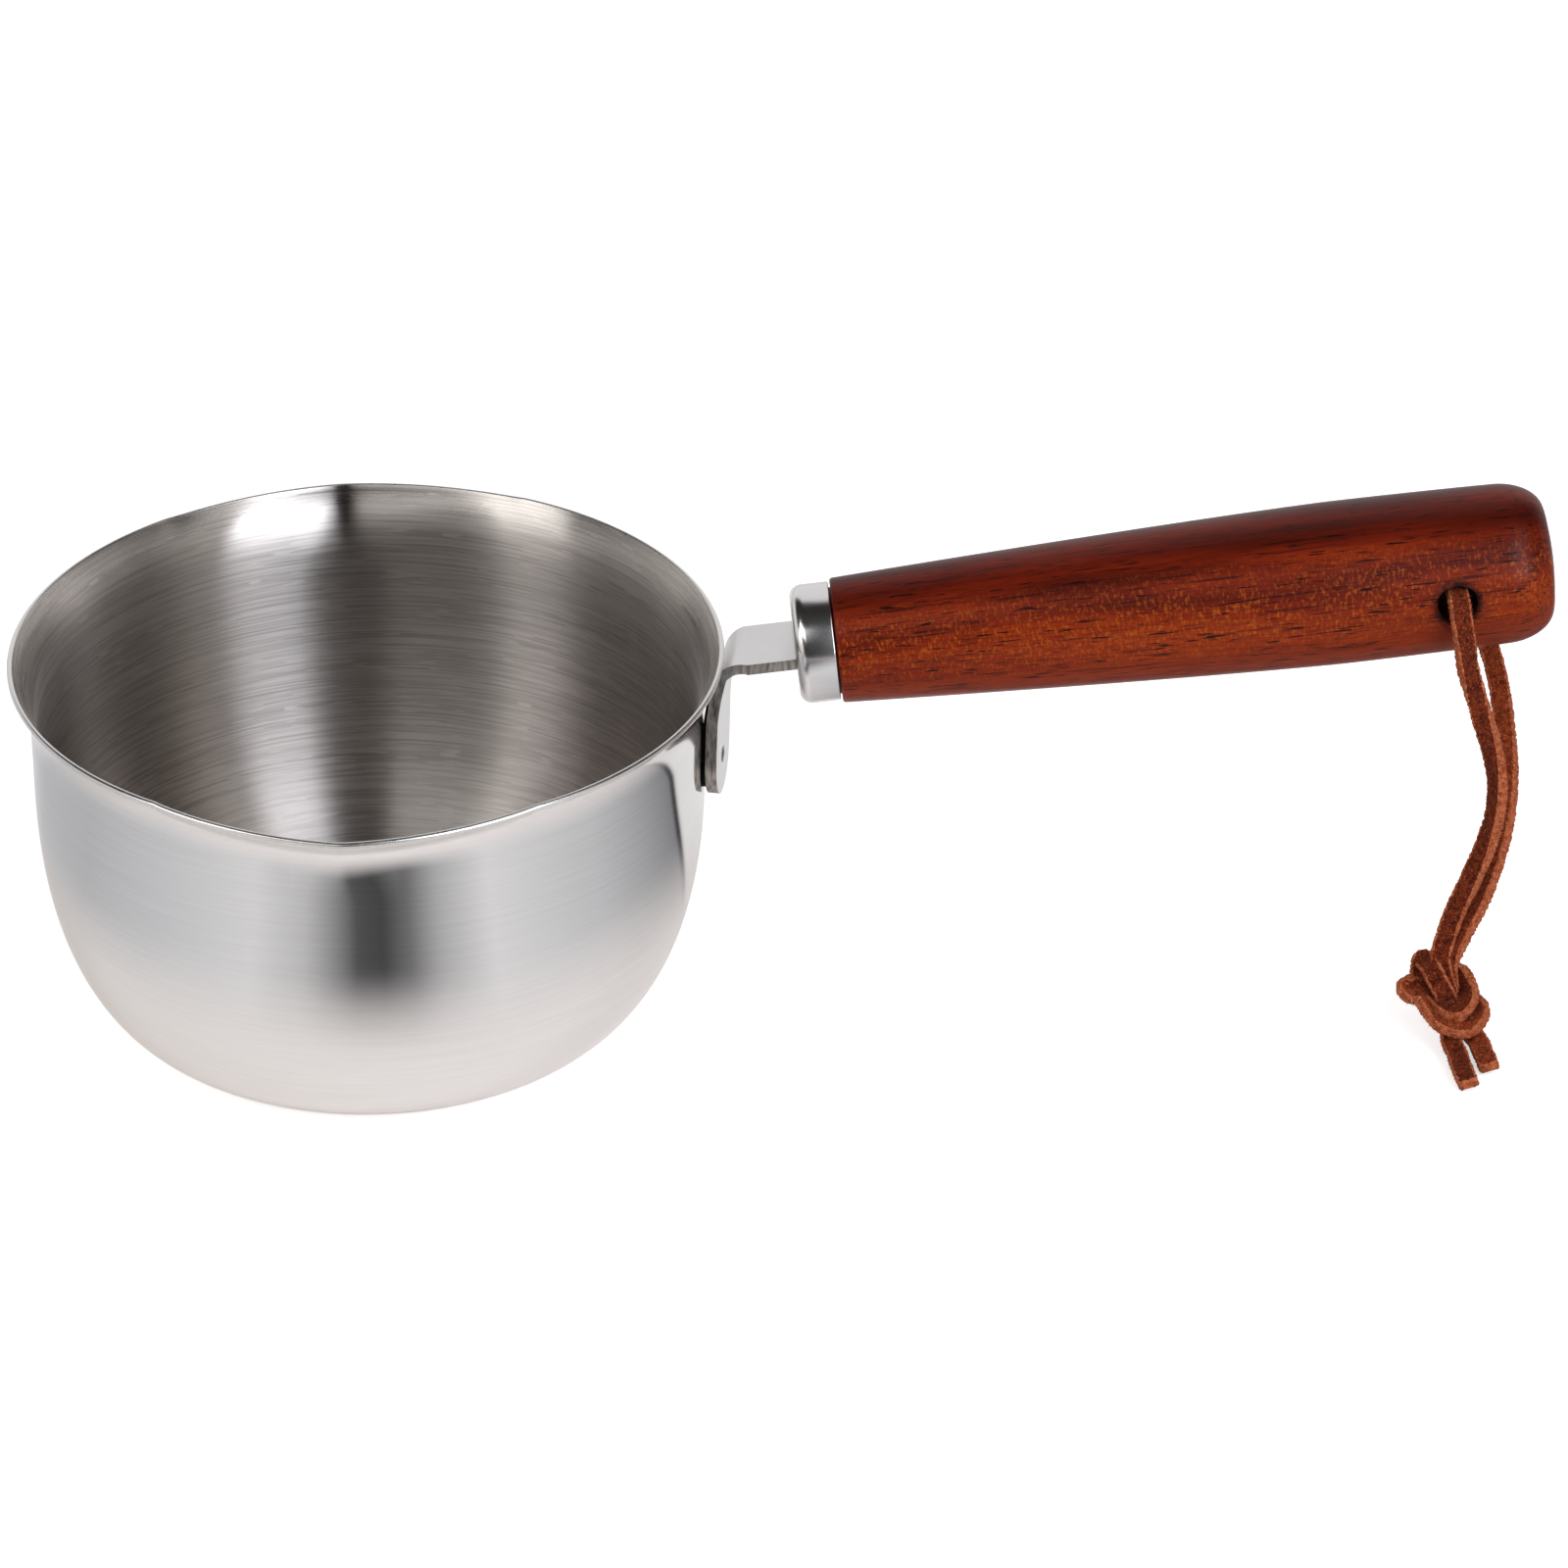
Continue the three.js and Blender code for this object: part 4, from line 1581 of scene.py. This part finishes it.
class Side(Enum):
    """Where a softbox stands, seen from the pan: azimuth from +X and elevation, in degrees."""

    RIGHT = (-54, 38)
    RIGHT_FILL = (-27, 56)
    LEFT = (208, 42)
    LEFT_FILL = (240, 50)


@dataclass(frozen=True)
class Softbox:
    """An upright soft studio light. Size and distance in millimetres; radiance 1 is white."""

    side: Side
    size: Pair
    radiance: float
    tint: str = WHITE
    distance: float = 1280

    def build(self) -> Piece:
        """Makes the light, with its edges upright, as they show in the pan.

        Returns:
            The light.
        """
        azimuth, elevation = (math.radians(a) for a in self.side.value)
        level = Vector((math.cos(azimuth), math.sin(azimuth), 0))
        away = level * math.cos(elevation) + Vector((0, 0, math.sin(elevation)))
        data = bpy.data.lights.new("softbox_" + self.side.name.lower(), "AREA")
        data.shape = "RECTANGLE"
        data.size, data.size_y = (mm(s) for s in self.size)
        data.color = linear(self.tint)[:3]
        data.energy = self.radiance * math.pi * data.size * data.size_y
        light = bpy.data.objects.new(data.name, data)
        light.location = away * mm(self.distance)
        light.rotation_mode = "QUATERNION"
        light.rotation_quaternion = (-level).to_track_quat("-Z", "Y")
        bpy.context.scene.collection.objects.link(light)
        return light


@dataclass
class Studio:
    """A white sweep that rises behind the pan, softboxes, grey cards round the pan and a dark room."""

    softboxes: tuple[Softbox, ...] = (
        Softbox(Side.RIGHT, (500, 1300), 5.2, tint="#f0f5ff"),
        Softbox(Side.RIGHT_FILL, (400, 800), 1.8),
        Softbox(Side.LEFT, (380, 1000), 2.9),
        Softbox(Side.LEFT_FILL, (660, 700), 1.8),
    )
    floor_size: float = 12000
    floor_colour: str = "#f2f1ef"
    # Glow of the floor as the camera sees it, which makes it white, and as metal mirrors it.
    floor_glow: float = 0.6
    floor_mirror_glow: float = 0.2
    floor_mirror_tint: str = "#ffe8da"
    ambient: float = 0.45
    room: str = "#24211f"
    # Panels at both sides, as how far a direction points sideways and how high it goes.
    side: str = "#f4f3f2"
    side_from: Pair = (0.5, 0.75)
    side_top: float = 0.5
    # The sweep's top edge rises towards the back and falls to the sides.
    sweep: str = "#f2f2f3"
    sweep_base: float = -0.1
    sweep_tilt: float = 3
    sweep_pinch: float = 1.0
    sweep_fade: float = 0.3
    card_inner: float = 62
    card_full: float = 116
    card_outer: float = 900
    card_lift: float = 0.5
    card_segments: int = 96
    # Greys of the cards by azimuth in degrees from +X, with a dark gap in front and a thin dark line at the
    # right.
    card_greys: tuple[tuple[float, str], ...] = (
        (-180, "#c6c7ca"), (-150, "#dadbde"), (-122, "#eeeef0"), (-108, "#d2d2d3"), (-94, "#5a5a5b"),
        (-87, "#4e4e4f"), (-80, "#7e7e80"), (-72, "#c2c2c4"), (-58, "#f2f2f4"), (-25, "#d4d5d8"),
        (12, "#8c8d90"), (12.8, "#161618"), (14.6, "#161618"), (15.6, "#f4f4f4"), (110, "#f2f2f2"),
        (150, "#c8c9cc"), (180, "#c6c7ca"),
    )

    def build(self) -> None:
        """Makes the floor, the cards, the surroundings and the lights."""
        self.floor()
        self.cards()
        self.surroundings()
        for softbox in self.softboxes:
            softbox.build()

    def mirrored(self, add: Add) -> Node:
        """1 for rays that were reflected by metal or came through glass, and 0 for the others."""
        path = add("LightPath").outputs
        return add("Math", "MAXIMUM", {0: path["Is Glossy Ray"], 1: path["Is Transmission Ray"]})

    def floor(self) -> Piece:
        """A pale floor that keeps the shadow, with a little glow so that it reads as white.

        Returns:
            The floor.
        """
        material, add = new_material("paper_white_matt")
        paper = add("BsdfDiffuse", inputs={"Color": linear(self.floor_colour)})
        camera = add("LightPath").outputs["Is Camera Ray"]
        seen = add("Math", "MULTIPLY", {0: camera, 1: self.floor_glow})
        strength = add("Math", "MULTIPLY_ADD", {
            0: self.mirrored(add), 1: self.floor_mirror_glow, 2: seen,
        })
        tint = add("Mix", COLOURS, {
            "Factor": camera, FIRST: linear(self.floor_mirror_tint), SECOND: linear(WHITE),
        })
        glow = add("Emission", inputs={"Color": tint, "Strength": strength})
        both = add("AddShader", inputs={0: paper, 1: glow})
        add("OutputMaterial", inputs={"Surface": both})
        half = self.floor_size / 2
        corners = [Vector((x * half, y * half, 0)) for x, y in ((-1, -1), (1, -1), (1, 1), (-1, 1))]
        floor = new_piece("floor", corners, [(0, 1, 2, 3)], [material])
        return floor

    def cards(self) -> Piece:
        """Grey cards laid round the pan, which only show in its metal.

        Returns:
            The cards, as one ring.
        """
        material, add = new_material("card_grey_matt")
        place = add("TexCoord").outputs["Object"]
        round_pan = add("TexGradient", {"gradient_type": "RADIAL"}, {"Vector": place})
        stops = [((azimuth + 180) / 360, grey) for azimuth, grey in self.card_greys]
        grey = add("ValToRGB", {"stops": stops}, {"Fac": round_pan.outputs["Fac"]})
        inside = add("MapRange", SOFT, {
            "Value": add("VectorMath", "LENGTH", {0: place}),
            "From": (mm(self.card_inner), mm(self.card_full)),
        })
        faded = add("MixShader", inputs={
            "Fac": inside,
            1: add("BsdfTransparent"),
            2: add("Emission", inputs={"Color": grey}),
        })
        add("OutputMaterial", inputs={"Surface": faded})
        count = self.card_segments
        points = [
            Vector((radius * math.cos(t), radius * math.sin(t), self.card_lift))
            for radius in (self.card_outer, self.card_inner) for t in even_turns(count)
        ]
        cards = new_piece("cards", points, ring_faces(2, count), [material])
        for ray in ("camera", "diffuse", "transmission", "volume_scatter", "shadow"):
            setattr(cards, "visible_" + ray, False)
        return cards

    def surroundings(self) -> None:
        """White for the camera, even light on matt pieces, and a sweep, pale sides and dark room in metal."""
        world = bpy.data.worlds.new("studio")
        bpy.context.scene.world = world
        world.use_nodes = True
        world.node_tree.nodes.clear()
        add = partial(add_node, world.node_tree)
        direction = add("TexCoord").outputs["Generated"]
        parts = add("SeparateXYZ", inputs={"Vector": direction}).outputs
        beside = add("Math", "ABSOLUTE", {0: parts["X"]})
        behind = add("Math", "MULTIPLY_ADD", {0: beside, 1: -self.sweep_pinch, 2: parts["Y"]})
        top = add("Math", "MULTIPLY_ADD", {0: behind, 1: self.sweep_tilt, 2: self.sweep_base})
        above = add("MapRange", SOFT, {
            "Value": add("Math", "SUBTRACT", {0: parts["Z"], 1: top}),
            "From": (-self.sweep_fade, self.sweep_fade),
        })
        out = add("MapRange", SOFT, {"Value": beside, "From": self.side_from})
        low = add("MapRange", SOFT, {"Value": parts["Z"], "From": (self.side_top, self.side_top / 2)})
        room = add("Mix", COLOURS, {
            "Factor": add("Math", "MULTIPLY", {0: out, 1: low}),
            FIRST: linear(self.room), SECOND: linear(self.side),
        })
        sweep = add("Mix", COLOURS, {"Factor": above, FIRST: linear(self.sweep), SECOND: room})
        reflected = add("MixShader", inputs={
            "Fac": self.mirrored(add),
            1: add("Background", inputs={"Strength": self.ambient}),
            2: add("Background", inputs={"Color": sweep}),
        })
        seen = add("MixShader", inputs={
            "Fac": add("LightPath").outputs["Is Camera Ray"],
            1: reflected,
            2: add("Background", inputs={"Color": linear(WHITE)}),
        })
        add("OutputWorld", inputs={"Surface": seen})


def dress_resin() -> Piece:
    """Gives the hidden bed of the tang its finish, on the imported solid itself.

    Returns:
        The solid.
    """
    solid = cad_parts["tang_resin"]
    solid.data.materials.clear()
    solid.data.materials.append(CAST_EPOXY.make())
    return solid


def main() -> None:
    """Builds the camera, the studio and every piece in order."""
    logging.basicConfig(level=logging.INFO, format="%(message)s")
    bpy.context.scene.view_settings.view_transform = "Standard"
    PhotoView().build()
    Studio().build()
    line = HandleLine()
    bowl = PanBowl()
    strap = HandleStrap(line, bowl)
    steps: list[Callable[[], Piece | list[Piece]]] = [
        Thong().build, bowl.build, strap.build, strap.seam, Ferrule(line, strap).build, Grip(line).build,
        dress_resin,
    ]
    for step in steps:
        made = step()
        for piece in made if isinstance(made, list) else [made]:
            log.info("%s has %d faces", piece.name, len(piece.data.polygons))


if __name__ == "__main__":
    main()
